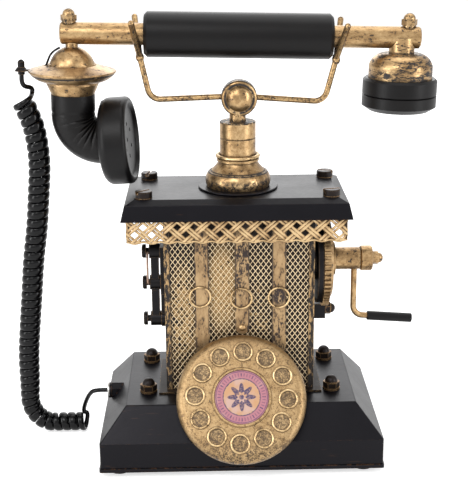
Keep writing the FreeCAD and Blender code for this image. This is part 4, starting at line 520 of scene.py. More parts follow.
class Shader(Nodes):
    """One node material."""

    def __init__(self, name: str) -> None:
        """Starts a material with its surface shader and its place input.

        Args:
            name: The material's name.
        """
        self.material = bpy.data.materials.new(name)
        self.material.use_nodes = True
        super().__init__(self.material.node_tree)
        self.surface = self.tree.nodes["Principled BSDF"]
        self.place = self.add("ShaderNodeTexCoord").outputs["Object"]

    def stretched(self, factors: Place, turn: Place = (0.0, 0.0, 0.0)) -> Socket:
        """The place, scaled by factors and turned.

        Args:
            factors: The scale along each axis; a small one draws a pattern out.
            turn: The turn about each axis in radians.

        Returns:
            The new place.
        """
        node = self.add("ShaderNodeMapping")
        self.feed(node.inputs["Vector"], self.place)
        node.inputs["Scale"].default_value = factors
        node.inputs["Rotation"].default_value = turn
        return node.outputs["Vector"]

    def noise(
        self, size: float, detail: float = 3.0, place: Socket | None = None, distortion: float = 0.0
    ) -> Socket:
        """Soft noise with features of a size.

        Args:
            size: The size of its features in metres.
            detail: How many finer layers it has.
            place: The place it reads, the object's own if left out.
            distortion: How far it is swirled.

        Returns:
            A value round 0.5.
        """
        node = self.add("ShaderNodeTexNoise")
        self.feed(node.inputs["Vector"], place or self.place)
        node.inputs["Scale"].default_value = 1.0 / size
        node.inputs["Detail"].default_value = detail
        node.inputs["Distortion"].default_value = distortion
        return node.outputs["Fac"]

    def blend(self, share: Value, first: Value | Colour, second: Value | Colour) -> Socket:
        """A colour between two.

        Args:
            share: The share of the second.
            first: The colour at share 0.
            second: The colour at share 1.

        Returns:
            The colour.
        """
        node = self.add("ShaderNodeMix")
        node.data_type = "RGBA"
        self.feed(node.inputs[0], share)
        self.feed(node.inputs[6], first)
        self.feed(node.inputs[7], second)
        return node.outputs[2]

    def ramp(self, value: Value, stops: list[tuple[float, Colour]]) -> Socket:
        """Colours along a value.

        Args:
            value: The value that is looked up.
            stops: Places from 0 to 1 with their colours.

        Returns:
            The colour.
        """
        node = self.add("ShaderNodeValToRGB")
        self.feed(node.inputs[0], value)
        elements = node.color_ramp.elements
        while len(elements) < len(stops):
            elements.new(0.5)
        for element, (position, colour) in zip(elements, stops):
            element.position = position
            element.color = (*colour, 1.0)
        return node.outputs[0]

    def vectors(self, kind: str, first: Value, second: Value | Place) -> bpy.types.Node:
        """A calculation with two vectors.

        Args:
            kind: The operation's name.
            first: The first vector.
            second: The second vector.

        Returns:
            The node, which holds the result.
        """
        node = self.add("ShaderNodeVectorMath")
        node.operation = kind
        self.feed(node.inputs[0], first)
        self.feed(node.inputs[1], second)
        return node

    def edge(self, radius: float) -> Socket:
        """Finds sharp edges.

        Args:
            radius: How far the search reaches in metres.

        Returns:
            About 1 on sharp edges and 0 on plain faces.
        """
        rounded = self.add("ShaderNodeBevel")
        rounded.samples = 6
        rounded.inputs["Radius"].default_value = radius
        real = self.add("ShaderNodeNewGeometry")
        dot = self.vectors("DOT_PRODUCT", rounded.outputs["Normal"], real.outputs["Normal"])
        return self.span(dot.outputs["Value"], 0.995, 0.86)

    def hollow(self, distance: float) -> Socket:
        """Finds corners and hollows.

        Args:
            distance: How far the search reaches in metres.

        Returns:
            About 1 in hollows and 0 on open faces.
        """
        node = self.add("ShaderNodeAmbientOcclusion")
        node.samples = 6
        node.inputs["Distance"].default_value = distance
        return self.span(node.outputs["AO"], 0.85, 0.4)

    def away(self, centre: Place, reach: Place) -> Socket:
        """How far the place is from a centre, counted in reaches.

        Args:
            centre: The centre in millimetres.
            reach: The distance along each axis that counts as one, in millimetres.

        Returns:
            The distance, 1 on the rim of the ellipsoid that the reaches give.
        """
        shift = self.vectors("SUBTRACT", self.place, metres(centre))
        share = self.vectors("DIVIDE", shift.outputs[0], metres(reach))
        length = self.add("ShaderNodeVectorMath")
        length.operation = "LENGTH"
        self.feed(length.inputs[0], share.outputs[0])
        return length.outputs["Value"]

    def facing(self, centre: Place, lean: float) -> tuple[Socket, Socket]:
        """The distance and the angle round a centre, on a plate that leans back.

        Args:
            centre: The centre in metres.
            lean: How far the plate leans back from the upright, in radians.

        Returns:
            The distance in metres and the angle in radians.
        """
        node = self.add("ShaderNodeMapping")
        node.vector_type = "TEXTURE"
        node.inputs["Location"].default_value = centre
        node.inputs["Rotation"].default_value = (math.pi / 2 - lean, 0.0, 0.0)
        self.feed(node.inputs["Vector"], self.place)
        x, y, _ = self.split(node.outputs["Vector"])
        return self.length(x, y), self.maths("ARCTAN2", y, x)

    def split(self, vector: Socket) -> tuple[Socket, Socket, Socket]:
        """The three parts of a vector.

        Args:
            vector: The vector.

        Returns:
            Its X, Y and Z.
        """
        node = self.add("ShaderNodeSeparateXYZ")
        self.feed(node.inputs[0], vector)
        return node.outputs[0], node.outputs[1], node.outputs[2]

    def across(self) -> Socket:
        """The place's X in metres."""
        return self.split(self.place)[0]

    def height(self) -> Socket:
        """The place's height in metres."""
        return self.split(self.place)[2]

    def bump(self, height: Value, distance: float, strength: float) -> None:
        """Raises the surface by a height pattern, on top of the bumps so far.

        Args:
            height: The pattern.
            distance: The height of its 1 in metres.
            strength: How much of it shows.
        """
        node = self.add("ShaderNodeBump")
        node.inputs["Strength"].default_value = strength
        node.inputs["Distance"].default_value = distance
        self.feed(node.inputs["Height"], height)
        if self.surface.inputs["Normal"].is_linked:
            self.feed(node.inputs["Normal"], self.surface.inputs["Normal"].links[0].from_socket)
        self.feed(self.surface.inputs["Normal"], node.outputs["Normal"])

    def set(self, name: str, value: Value | Colour) -> None:
        """Feeds an input of the surface shader."""
        self.feed(self.surface.inputs[name], value)

    def rough(
        self, first: tuple[float, Value], second: tuple[float, Value], low: float, high: float
    ) -> None:
        """Moves the roughness from low to high with the mean of two weighted patterns."""
        self.set("Roughness", self.between(self.mean(first, second), low, high))


@dataclass(frozen=True)
class AgedBrass:
    """Brass paint or metal with a dark patina in its hollows and rubbed edges, painted shade in
    bands at given heights and painted shadow lines at given X.
    """

    name: str
    bright: Colour = (0.56, 0.385, 0.2)
    middle: Colour = (0.35, 0.222, 0.104)
    deep: Colour = (0.12, 0.066, 0.029)
    patina: Colour = (0.010, 0.007, 0.006)
    patina_share: float = 0.25
    patch: float = 0.006
    stretch: Place = (1.0, 1.0, 1.0)
    hollow_reach: float = 0.0025
    rub: float = 0.0006
    roughness: float = 0.36
    metal: float = 0.9
    patina_and_shade_bands: tuple[tuple[float, float, float], ...] = ()
    patches: tuple[tuple[Place, Place, float], ...] = ()
    shadow_lines: tuple[float, ...] = ()
    shadow_line_half: float = 0.8
    circles: tuple[tuple[Place, float, float], ...] = ()

    def build(self) -> Material:
        """Builds the material.

        Returns:
            The material.
        """
        s = Shader(self.name)
        place = s.stretched(self.stretch)
        broad = s.noise(self.patch * 2.5, 3.0, place, 0.4)
        small = s.noise(self.patch * 0.5, 4.0, place, 0.6)
        fine = s.noise(self.patch * 0.13, 3.0, place)
        tone = s.mean((0.42, broad), (0.38, small), (0.2, fine))
        brass = s.ramp(tone, [(0.36, self.deep), (0.5, self.middle), (0.64, self.bright)])
        spots = s.mean((0.5, small), (0.3, fine), (0.2, broad))
        limit = 0.36 + 0.22 * self.patina_share
        dark = s.span(spots, limit + 0.025, limit - 0.035)
        hollow = s.hollow(self.hollow_reach)
        broken = s.span(s.mean((0.6, fine), (0.4, small)), 0.3, 0.58)
        dark = s.larger(dark, s.times(hollow, s.between(broken, 1.0, 0.45)))
        # Dark bands at given heights: the one round 144 mm is painted shade under the tray, the
        # narrow ones are patina and dark joints.
        for middle, half, strength in self.patina_and_shade_bands:
            distance = s.gap(s.height(), middle * MM)
            band = s.span(distance, half * MM, half * 0.35 * MM)
            low = 0.15 + 0.5 * strength
            ragged = s.span(s.mean((0.6, small), (0.4, fine)), low + 0.15, low)
            dark = s.larger(dark, s.times(band, ragged))
        for centre, reach, strength in self.patches:
            near = s.span(s.away(centre, reach), 1.0, 0.55)
            low = 0.2 + 0.5 * strength
            ragged = s.span(s.mean((0.5, small), (0.5, fine)), low + 0.1, low)
            dark = s.larger(dark, s.times(near, ragged))
        # Painted shadow: dark lines at given X along the edges of the straps and the trims, where
        # they meet the net.
        for line in self.shadow_lines:
            beside = s.gap(s.across(), line * MM)
            shadow_line = s.span(beside, self.shadow_line_half * MM, 0.3 * self.shadow_line_half * MM)
            dark = s.larger(dark, s.times(shadow_line, s.span(small, 0.7, 0.5)))
        for centre, radius, half in self.circles:
            away = s.gap(s.away(centre, (1.0, 1000.0, 1.0)), radius)
            ring = s.times(s.span(away, half, half * 0.4), s.span(small, 0.66, 0.5))
            dark = s.larger(dark, ring)
        edge = s.times(s.edge(self.rub), s.span(small, 0.38, 0.5))
        dark = s.times(dark, s.minus(1.0, s.times(edge, 0.75)))
        colour = s.blend(s.times(edge, 0.7), brass, self.bright)
        s.set("Base Color", s.blend(dark, colour, self.patina))
        s.set("Metallic", s.between(dark, self.metal, 0.25))
        s.rough((0.6, dark), (0.4, broad), self.roughness - 0.06, self.roughness + 0.26)
        s.bump(s.mean((0.7, small), (0.3, fine)), 0.00012, 0.55)
        return s.material


@dataclass(frozen=True)
class SatinPaint:
    """Dark satin paint, worn brown or gold along its edges."""

    name: str
    paint: Colour = (0.0018, 0.0017, 0.0026)
    worn: Colour = (0.085, 0.042, 0.02)
    wear: float = 0.5
    wear_radius: float = 0.0009
    grain: float = 0.0011
    cloud: float = 0.03
    roughness: float = 0.33
    metal_worn: float = 0.4
    specular: float = 0.17

    def build(self) -> Material:
        """Builds the material.

        Returns:
            The material.
        """
        s = Shader(self.name)
        cloud = s.noise(self.cloud, 3.0, None, 0.3)
        small = s.noise(self.cloud * 0.09, 4.0)
        fine = s.noise(self.grain, 2.0)
        scratch = s.noise(0.0016, 3.0, s.stretched((0.08, 1.0, 1.0), (0.3, 0.5, 0.9)), 0.2)
        edge = s.edge(self.wear_radius)
        limit = 0.62 - 0.28 * self.wear
        broken = s.span(s.mean((0.55, small), (0.45, fine)), limit, limit + 0.1)
        worn = s.times(edge, broken)
        rubbed = s.times(s.span(cloud, 0.5, 0.72), 0.35 * self.wear)
        tone = s.blend(rubbed, self.paint, tuple(2.2 * part for part in self.paint))
        tone = s.blend(s.times(s.span(scratch, 0.66, 0.74), 0.25), tone, self.worn)
        s.set("Base Color", s.blend(worn, tone, self.worn))
        s.set("Metallic", s.times(worn, self.metal_worn))
        s.rough((0.7, cloud), (0.3, small), self.roughness - 0.1, self.roughness + 0.14)
        s.set("Specular IOR Level", self.specular)
        s.set("Specular Tint", (0.95, 0.92, 1.0))
        s.bump(fine, 0.00004, 0.5)
        s.bump(small, 0.00018, 0.25)
        return s.material


@dataclass(frozen=True)
class SatinPlastic:
    """Black moulded plastic or bound rubber with a soft grain."""

    name: str
    colour: Colour = (0.0015, 0.0015, 0.0021)
    warm: Colour = (0.005, 0.004, 0.0036)
    roughness: float = 0.38
    grain: float = 0.0007
    depth: float = 0.00005
    specular: float = 0.19
    stretch: Place = (1.0, 1.0, 1.0)

    def build(self) -> Material:
        """Builds the material.

        Returns:
            The material.
        """
        s = Shader(self.name)
        place = s.stretched(self.stretch)
        cloud = s.noise(0.018, 3.0)
        grain = s.noise(self.grain, 3.0, place)
        dust = s.span(s.noise(0.004, 4.0, place), 0.55, 0.8)
        clouded = s.blend(cloud, self.colour, self.warm)
        s.set("Base Color", s.blend(s.times(dust, 0.6), clouded, self.warm))
        s.rough((0.5, cloud), (0.5, grain), self.roughness - 0.1, self.roughness + 0.12)
        s.set("Specular IOR Level", self.specular)
        s.bump(grain, self.depth, 0.6)
        return s.material


@dataclass(frozen=True)
class PlainMetal:
    """Bright metal with fine brushing."""

    name: str
    colour: Colour = (0.55, 0.54, 0.52)
    dull: Colour = (0.22, 0.2, 0.18)
    roughness: float = 0.3
    stretch: Place = (1.0, 1.0, 0.1)

    def build(self) -> Material:
        """Builds the material.

        Returns:
            The material.
        """
        s = Shader(self.name)
        brush = s.noise(0.0009, 3.0, s.stretched(self.stretch))
        cloud = s.noise(0.006, 4.0)
        dark = s.larger(s.span(cloud, 0.52, 0.7), s.hollow(0.0015))
        s.set("Base Color", s.blend(dark, self.colour, self.dull))
        s.set("Metallic", 1.0)
        s.rough((0.5, brush), (0.5, cloud), self.roughness - 0.08, self.roughness + 0.2)
        s.bump(brush, 0.00003, 0.5)
        return s.material


@dataclass(frozen=True)
class WovenBrass:
    """Woven brass with a painted highlight on its crests, painted shade down its sides and painted
    shade above a given height.
    """

    name: str
    bright: Colour = (0.80, 0.63, 0.40)
    middle: Colour = (0.42, 0.28, 0.14)
    deep: Colour = (0.04, 0.024, 0.012)
    shaded: Colour = (0.02, 0.013, 0.01)
    shade_from: float = 130.0
    steps: tuple[float, float, float] = (0.18, 0.42, 0.8)
    roughness: float = 0.4

    def build(self) -> Material:
        """Builds the material.

        Returns:
            The material.
        """
        s = Shader(self.name)
        mark = s.add("ShaderNodeAttribute")
        mark.attribute_name = "depth"
        back = mark.outputs["Fac"]
        cloud = s.noise(0.012, 3.0)
        small = s.noise(0.0016, 3.0)
        # Painted highlight and shade: bright on the crests, darker with depth down the sides.
        level = s.plus(back, s.times(s.minus(s.mean((0.5, cloud), (0.5, small)), 0.5), 0.9))
        brass = s.ramp(level, list(zip(self.steps, (self.bright, self.middle, self.deep))))
        shade = s.span(s.height(), (self.shade_from - 2.0) * MM, (self.shade_from + 3.0) * MM)
        s.set("Base Color", s.blend(shade, brass, self.shaded))
        s.set("Metallic", 0.7)
        s.set("Roughness", s.between(cloud, self.roughness - 0.08, self.roughness + 0.12))
        s.bump(small, 0.00006, 0.6)
        return s.material


@dataclass(frozen=True)
class ColumnPaint:
    """Dark brown paint of the column, with gold speckles in a few patches behind the net as a
    painted highlight, and gold worn edges.
    """

    name: str
    spots: tuple[tuple[Place, Place, float], ...]
    dark: Colour = (0.012, 0.008, 0.006)
    brown: Colour = (0.021, 0.0135, 0.009)
    gold: Colour = (0.34, 0.22, 0.1)

    def build(self) -> Material:
        """Builds the material.

        Returns:
            The material.
        """
        s = Shader(self.name)
        cloud = s.noise(0.009, 4.0, None, 0.5)
        small = s.noise(0.0018, 4.0)
        speckle = s.mean((0.4, cloud), (0.6, small))
        gold: Value = 0.0
        # Painted highlight: gold speckles in the patches where the net shows bright.
        for centre, reach, share in self.spots:
            near = s.span(s.away(centre, reach), 1.0, 0.4)
            some = s.span(speckle, 0.56 - 0.2 * share, 0.66 - 0.18 * share)
            gold = s.larger(gold, s.times(near, some))
        edge = s.times(s.edge(0.0008), s.span(small, 0.42, 0.56))
        gold = s.larger(gold, s.times(edge, 0.6))
        base = s.blend(s.span(cloud, 0.4, 0.65), self.dark, self.brown)
        s.set("Base Color", s.blend(gold, base, self.gold))
        s.set("Metallic", s.times(gold, 0.7))
        s.set("Roughness", s.between(small, 0.4, 0.62))
        s.set("Specular IOR Level", 0.2)
        s.bump(small, 0.0001, 0.5)
        return s.material


@dataclass(frozen=True)
class RubbedFloors:
    """The dial's brass, darker and speckled on the floors inside its wire rings, with painted shade
    in the hollows beside the rings.
    """

    centre: Place
    lean: float
    circle: float
    floor: float
    start: float
    count: int = DIAL_HOLES
    bright: Colour = (0.43, 0.295, 0.15)
    middle: Colour = (0.31, 0.2, 0.092)
    deep: Colour = (0.17, 0.098, 0.042)
    patina: Colour = (0.03, 0.018, 0.011)

    def build(self) -> Material:
        """Builds the material.

        Returns:
            The material.
        """
        s = Shader("dial_brass")
        broad = s.noise(0.011, 3.0, None, 0.4)
        small = s.noise(0.0021, 4.0, None, 0.5)
        fine = s.noise(0.00065, 3.0)
        tone = s.mean((0.3, broad), (0.35, small), (0.35, fine))
        brass = s.ramp(tone, [(0.36, self.deep), (0.48, self.middle), (0.62, self.bright)])
        away, angle = s.facing(self.centre, self.lean)
        step = 2 * math.pi / self.count
        turned = s.plus(angle, math.radians(self.start) + 2 * math.pi + step / 2)
        local = s.minus(s.maths("MODULO", turned, step), step / 2)
        across = s.minus(s.times(away, s.maths("COSINE", local)), self.circle)
        along = s.times(away, s.maths("SINE", local))
        inside = s.span(s.length(across, along), self.floor, self.floor * 0.86)
        low = s.span(s.height(), 34.0 * MM, 17.0 * MM)
        top = s.span(s.height(), 68.0 * MM, 77.0 * MM)
        speckle = s.mean((0.45, small), (0.55, fine))
        spots = s.span(speckle, 0.46, 0.36)
        floor_spots = s.times(inside, s.span(speckle, 0.62, 0.44))
        low_spots = s.times(low, s.span(speckle, 0.55, 0.42))
        dark = s.larger(s.times(spots, 0.6), s.times(floor_spots, 0.72))
        # The hollow term is painted shade beside the wire rings.
        dark = s.larger(dark, s.larger(low_spots, s.times(s.hollow(0.0018), 0.8)))
        brown = s.blend(s.times(top, 0.7), brass, self.deep)
        s.set("Base Color", s.blend(dark, brown, self.patina))
        s.set("Metallic", s.between(dark, 0.78, 0.3))
        s.rough((0.6, broad), (0.4, small), 0.34, 0.52)
        s.bump(s.mean((0.5, small), (0.5, fine)), 0.00014, 0.6)
        return s.material


@dataclass(frozen=True)
class PrintedCard:
    """A printed card with a plain rosette, rings and ticks round its middle."""

    name: str
    centre: Place
    lean: float
    radius: float
    cream: Colour = (0.55, 0.30, 0.15)
    pink: Colour = (0.43, 0.17, 0.205)
    ink: Colour = (0.03, 0.022, 0.09)
    pale: Colour = (0.55, 0.36, 0.3)
    petals: float = 8.0
    ticks: float = 48.0

    def build(self) -> Material:
        """Builds the material.

        Returns:
            The material.
        """
        s = Shader(self.name)
        away, angle = s.facing(self.centre, self.lean)
        share = s.maths("DIVIDE", away, self.radius)
        blot = s.noise(0.0009, 3.0)
        share = s.plus(share, s.times(s.minus(blot, 0.5), 0.03))
        wave = s.maths("COSINE", s.times(angle, self.petals))
        petal = s.plus(s.times(wave, 0.13), 0.4)
        flower = s.span(s.minus(share, petal), 0.015, -0.015)
        inner = s.plus(s.times(wave, -0.04), 0.17)
        eye = s.span(s.minus(share, inner), 0.012, -0.012)
        dot = s.span(share, 0.1, 0.08)
        rosette = s.minus(flower, s.minus(eye, dot))
        tick = s.span(s.maths("COSINE", s.times(angle, self.ticks)), 0.25, 0.6)
        row = s.times(s.span(share, 0.76, 0.78), s.span(share, 0.91, 0.89))
        short = s.span(s.maths("COSINE", s.times(angle, self.ticks / 4.0)), 0.2, 0.45)
        marks = s.times(s.times(tick, row), s.between(short, 0.55, 0.95))
        line = s.times(s.span(share, 0.66, 0.675), s.span(share, 0.715, 0.70))
        rim = s.times(s.span(share, 0.93, 0.945), s.span(share, 0.985, 0.97))
        band = s.span(share, 0.69, 0.71)
        stain = s.noise(0.006, 4.0)
        paper = s.blend(band, s.blend(s.span(stain, 0.35, 0.7), self.cream, self.pale), self.pink)
        paper = s.blend(s.times(s.span(stain, 0.5, 0.75), 0.5), paper, self.pale)
        ink = s.larger(s.larger(rosette, marks), s.larger(line, s.times(rim, 0.7)))
        faded = s.times(ink, s.between(s.span(blot, 0.35, 0.6), 0.62, 0.95))
        s.set("Base Color", s.blend(faded, paper, self.ink))
        s.set("Roughness", s.between(stain, 0.45, 0.65))
        s.bump(s.noise(0.0004, 2.0), 0.00002, 0.5)
        return s.material


@dataclass(frozen=True)
class Finishes:
    """Every material of the telephone, built once."""

    aged: Material
    dark_aged: Material
    trim: Material
    strap: Material
    rod: Material
    pedestal: Material
    worn_cap: Material
    button: Material
    wire: Material
    ring: Material
    dial: Material
    lace: Material
    net: Material
    card: Material
    column: Material
    sheet: Material
    fitting: Material
    hardware: Material
    grip: Material
    elbow: Material
    rubber: Material
    cord: Material
    sleeve: Material
    steel: Material
    bell_brass: Material
    capsule: Material

    @classmethod
    def make(cls) -> "Finishes":
        """Builds every material.

        Returns:
            The set of materials.
        """
        return cls(
            # The band round 144 mm is painted shade under the tray.
            aged=AgedBrass("aged_brass", patina_and_shade_bands=((144.0, 13.0, 1.0), (220.9, 0.9, 0.8))).build(),
            dark_aged=AgedBrass("dark_aged_brass", patina_share=0.5, patch=0.003).build(),
            trim=AgedBrass(
                "trim_brass", bright=(0.45, 0.3, 0.15), patina_share=0.78, patch=0.003, rub=0.0004,
                # Painted shadow lines along the trims' edges.
                shadow_lines=(-38.8, 38.8, 41.2), shadow_line_half=1.1,
                # The band round 144 mm is painted shade under the tray.
                stretch=(1.0, 1.0, 0.3), roughness=0.42, patina_and_shade_bands=((144.0, 13.0, 1.0),)).build(),
            strap=AgedBrass(
                "strap_brass", bright=(0.47, 0.325, 0.17), middle=(0.36, 0.235, 0.118),
                patina=(0.03, 0.019, 0.016), patina_share=0.28, patch=0.005, rub=0.0003,
                # Painted shadow lines along the straps' edges.
                shadow_lines=tuple(x + side * 3.9 for x in (-21.3, 1.4, 22.3) for side in (-1, 1)),
                stretch=(1.0, 1.0, 0.45), roughness=0.45, metal=0.7,
                # The band round 144 mm is painted shade under the tray.
                patina_and_shade_bands=((144.0, 13.0, 1.0),),
                patches=(
                    ((1.4, -21.0, 117.0), (6.5, 4.0, 24.0), 0.5),
                    ((22.3, -21.0, 68.0), (6.5, 4.0, 26.0), 0.45),
                    ((22.3, -21.0, 97.0), (5.0, 4.0, 7.0), 0.6),
                    ((-21.3, -21.0, 124.0), (4.0, 4.0, 8.0), 0.5),
                )).build(),
            rod=AgedBrass(
                "rod_brass", bright=(0.5, 0.345, 0.175), middle=(0.36, 0.23, 0.108),
                deep=(0.2, 0.115, 0.05), patch=0.0026, stretch=(0.6, 1.0, 1.0)).build(),
            pedestal=AgedBrass(
                "pedestal_brass", patina_share=0.2, patch=0.005, roughness=0.32,
                patina_and_shade_bands=(
                    (165.4, 1.0, 0.8), (159.0, 4.6, 0.58), (193.4, 0.7, 0.7), (184.4, 0.6, 0.7),
                )).build(),
            worn_cap=AgedBrass(
                "worn_cap_brass", bright=(0.55, 0.375, 0.19), patina_share=0.46, patch=0.004,
                stretch=(0.45, 0.45, 1.2), roughness=0.32,
                patina_and_shade_bands=((219.0, 5.2, 0.56), (230.6, 1.2, 0.6), (226.5, 2.2, 0.42))).build(),
            button=AgedBrass(
                "button_brass", patina_share=0.2, patch=0.005, roughness=0.3,
                circles=(((0.9, 0.0, 206.7), 7.9, 0.9), ((0.9, 0.0, 206.7), 10.2, 0.7))).build(),
            wire=AgedBrass(
                "cradle_wire_brass", bright=(0.58, 0.395, 0.19), patina_share=0.45, patch=0.0026,
                roughness=0.33, hollow_reach=0.004).build(),
            ring=AgedBrass(
                "ring_brass", bright=(0.74, 0.56, 0.32), middle=(0.56, 0.39, 0.2),
                patina_share=0.15, patch=0.003, roughness=0.34).build(),
            dial=RubbedFloors(
                tuple(metres(DIAL_CENTRE)), DIAL_LEAN, DIAL_CIRCLE * MM, 5.2 * MM,
                DIAL_START).build(),
            lace=WovenBrass(
                "lace_brass", bright=(0.60, 0.43, 0.23), middle=(0.33, 0.205, 0.095),
                deep=(0.03, 0.018, 0.01), shade_from=160.0, steps=(0.06, 0.3, 0.62),
                roughness=0.34).build(),
            net=WovenBrass("net_brass").build(),
            card=PrintedCard(
                "printed_card", tuple(metres(DIAL_CENTRE)), DIAL_LEAN, 15.0 * MM).build(),
            # The gold patches are a painted highlight behind the net.
            column=ColumnPaint("column_paint", (
                ((-9.5, -19.6, 102.0), (12.0, 9.0, 34.0), 1.0),
                ((-32.0, -19.6, 82.0), (11.0, 9.0, 40.0), 0.55),
                ((12.0, -19.6, 84.0), (9.0, 9.0, 22.0), 0.25),
            )).build(),
            sheet=SatinPaint("sheet_paint").build(),
            fitting=SatinPaint(
                "fitting_paint", paint=(0.005, 0.0045, 0.0042), worn=(0.16, 0.095, 0.045),
                wear=0.75, wear_radius=0.0007, cloud=0.012).build(),
            hardware=SatinPaint(
                "hardware_paint", paint=(0.011, 0.007, 0.005), worn=(0.34, 0.21, 0.1), wear=0.95,
                wear_radius=0.0009, cloud=0.008, metal_worn=0.8).build(),
            grip=SatinPlastic("grip_plastic").build(),
            elbow=SatinPlastic("elbow_skin", roughness=0.4, grain=0.0014, depth=0.0001).build(),
            rubber=SatinPlastic("foot_rubber", roughness=0.62, specular=0.3).build(),
            cord=SatinPlastic(
                "cord_skin", colour=(0.0012, 0.0012, 0.0016), warm=(0.002, 0.002, 0.0024),
                roughness=0.19, grain=0.003, depth=0.00002, specular=0.2).build(),
            sleeve=SatinPlastic(
                "wire_sleeve", colour=(0.42, 0.27, 0.22), warm=(0.5, 0.33, 0.24),
                roughness=0.5).build(),
            steel=PlainMetal("plain_steel").build(),
            bell_brass=PlainMetal(
                "gong_brass", colour=(0.75, 0.55, 0.27), dull=(0.3, 0.2, 0.09)).build(),
            capsule=PlainMetal("capsule_metal", colour=(0.6, 0.6, 0.6), roughness=0.36).build(),
        )


# Stage


@dataclass
class Studio:
    """The pale floor, the soft lamps, the white surround and the camera."""

    floor_half: float = 6.0
    ambient: float = 0.42
    glow: float = 0.62
    elevation: float = 17.0
    distance: float = 660.0
    aim: Place = (-2.2, 0.0, 124.0)
    lens: float = 85.875
    yaw: float = 1.4
    roll: float = -0.4
    lamp_aim: float = 120.0

    def build(self) -> None:
        """Builds the camera, the floor, the surround and the lamps."""
        bpy.context.scene.view_settings.view_transform = "Standard"
        self.camera()
        self.floor()
        self.surround()
        self.lamp("key", (-0.35, -0.9, 1.0), (0.5, 0.5), 5.5)
        self.lamp("left_strip", (-0.95, -0.62, 0.44), (0.28, 0.9), 6.5)
        self.lamp("right_strip", (0.98, -0.58, 0.44), (0.28, 0.9), 5.5)
        self.lamp("top", (0.15, 0.25, 1.25), (0.9, 0.9), 5.0)
        self.lamp("back", (0.0, 1.6, 0.95), (1.3, 1.3), 11.0)
        log.info("stage: camera, floor, surround and lamps")

    def camera(self) -> None:
        """Places the camera at the photograph's angle."""
        rise = math.radians(self.elevation)
        turn = Matrix.Rotation(-math.radians(self.yaw), 3, "Z")
        aim = turn @ metres(self.aim)
        offset = turn @ Vector((0.0, -math.cos(rise), math.sin(rise)))
        data = bpy.data.cameras.new("camera")
        data.lens = self.lens
        data.clip_start = 0.01
        camera = bpy.data.objects.new("camera", data)
        bpy.context.scene.collection.objects.link(camera)
        camera.location = aim + offset * self.distance * MM
        camera.rotation_mode = "QUATERNION"
        camera.rotation_quaternion = (-offset).to_track_quat("-Z", "Y") @ Quaternion(
            (0.0, 0.0, 1.0), math.radians(self.roll))
        bpy.context.scene.camera = camera

    def floor(self) -> None:
        """Makes the pale floor, which keeps the object's shadow."""
        pick_nothing()
        bpy.ops.mesh.primitive_plane_add(size=2 * self.floor_half)
        plane = bpy.context.view_layer.objects.active
        plane.name = "floor"
        s = Shader("pale_floor")
        s.set("Base Color", s.blend(s.noise(0.5, 2.0), (0.84, 0.84, 0.84), (0.86, 0.86, 0.86)))
        s.set("Roughness", 0.8)
        s.set("Specular IOR Level", 0.1)
        s.surface.inputs["Emission Color"].default_value = (1.0, 1.0, 1.0, 1.0)
        s.set("Emission Strength", s.times(s.seen(), self.glow))
        wear_finish(plane, s.material)

    def surround(self) -> None:
        """Sets a white surround for what is seen and mirrored, and a grey one for the light."""
        world = bpy.data.worlds.new("surround")
        world.use_nodes = True
        nodes = Nodes(world.node_tree)
        back = nodes.tree.nodes["Background"]
        back.inputs["Color"].default_value = (1.0, 1.0, 1.0, 1.0)
        nodes.feed(back.inputs["Strength"], nodes.between(nodes.seen(), self.ambient, 1.0))
        bpy.context.scene.world = world

    def lamp(self, name: str, place: Place, size: tuple[float, float], power: float) -> None:
        """Adds a soft lamp that faces the object.

        Args:
            name: The lamp's name.
            place: Where it hangs, in metres.
            size: Its width and height in metres.
            power: Its power in watts.
        """
        data = bpy.data.lights.new(name, "AREA")
        data.shape = "RECTANGLE"
        data.size, data.size_y = size
        data.energy = power
        lamp = bpy.data.objects.new(name, data)
        bpy.context.scene.collection.objects.link(lamp)
        lamp.location = place
        lamp.visible_camera = False
        lamp.rotation_mode = "QUATERNION"
        beam = metres((0.0, 0.0, self.lamp_aim)) - Vector(place)
        lamp.rotation_quaternion = beam.to_track_quat("-Z", "Y")


# Assemblies


@dataclass
class Assembly:
    """Pieces of the telephone that are modelled and dressed together."""

    finishes: Finishes

    def build(self) -> None:
        """Models and dresses the pieces."""
        raise NotImplementedError


# Curly cord


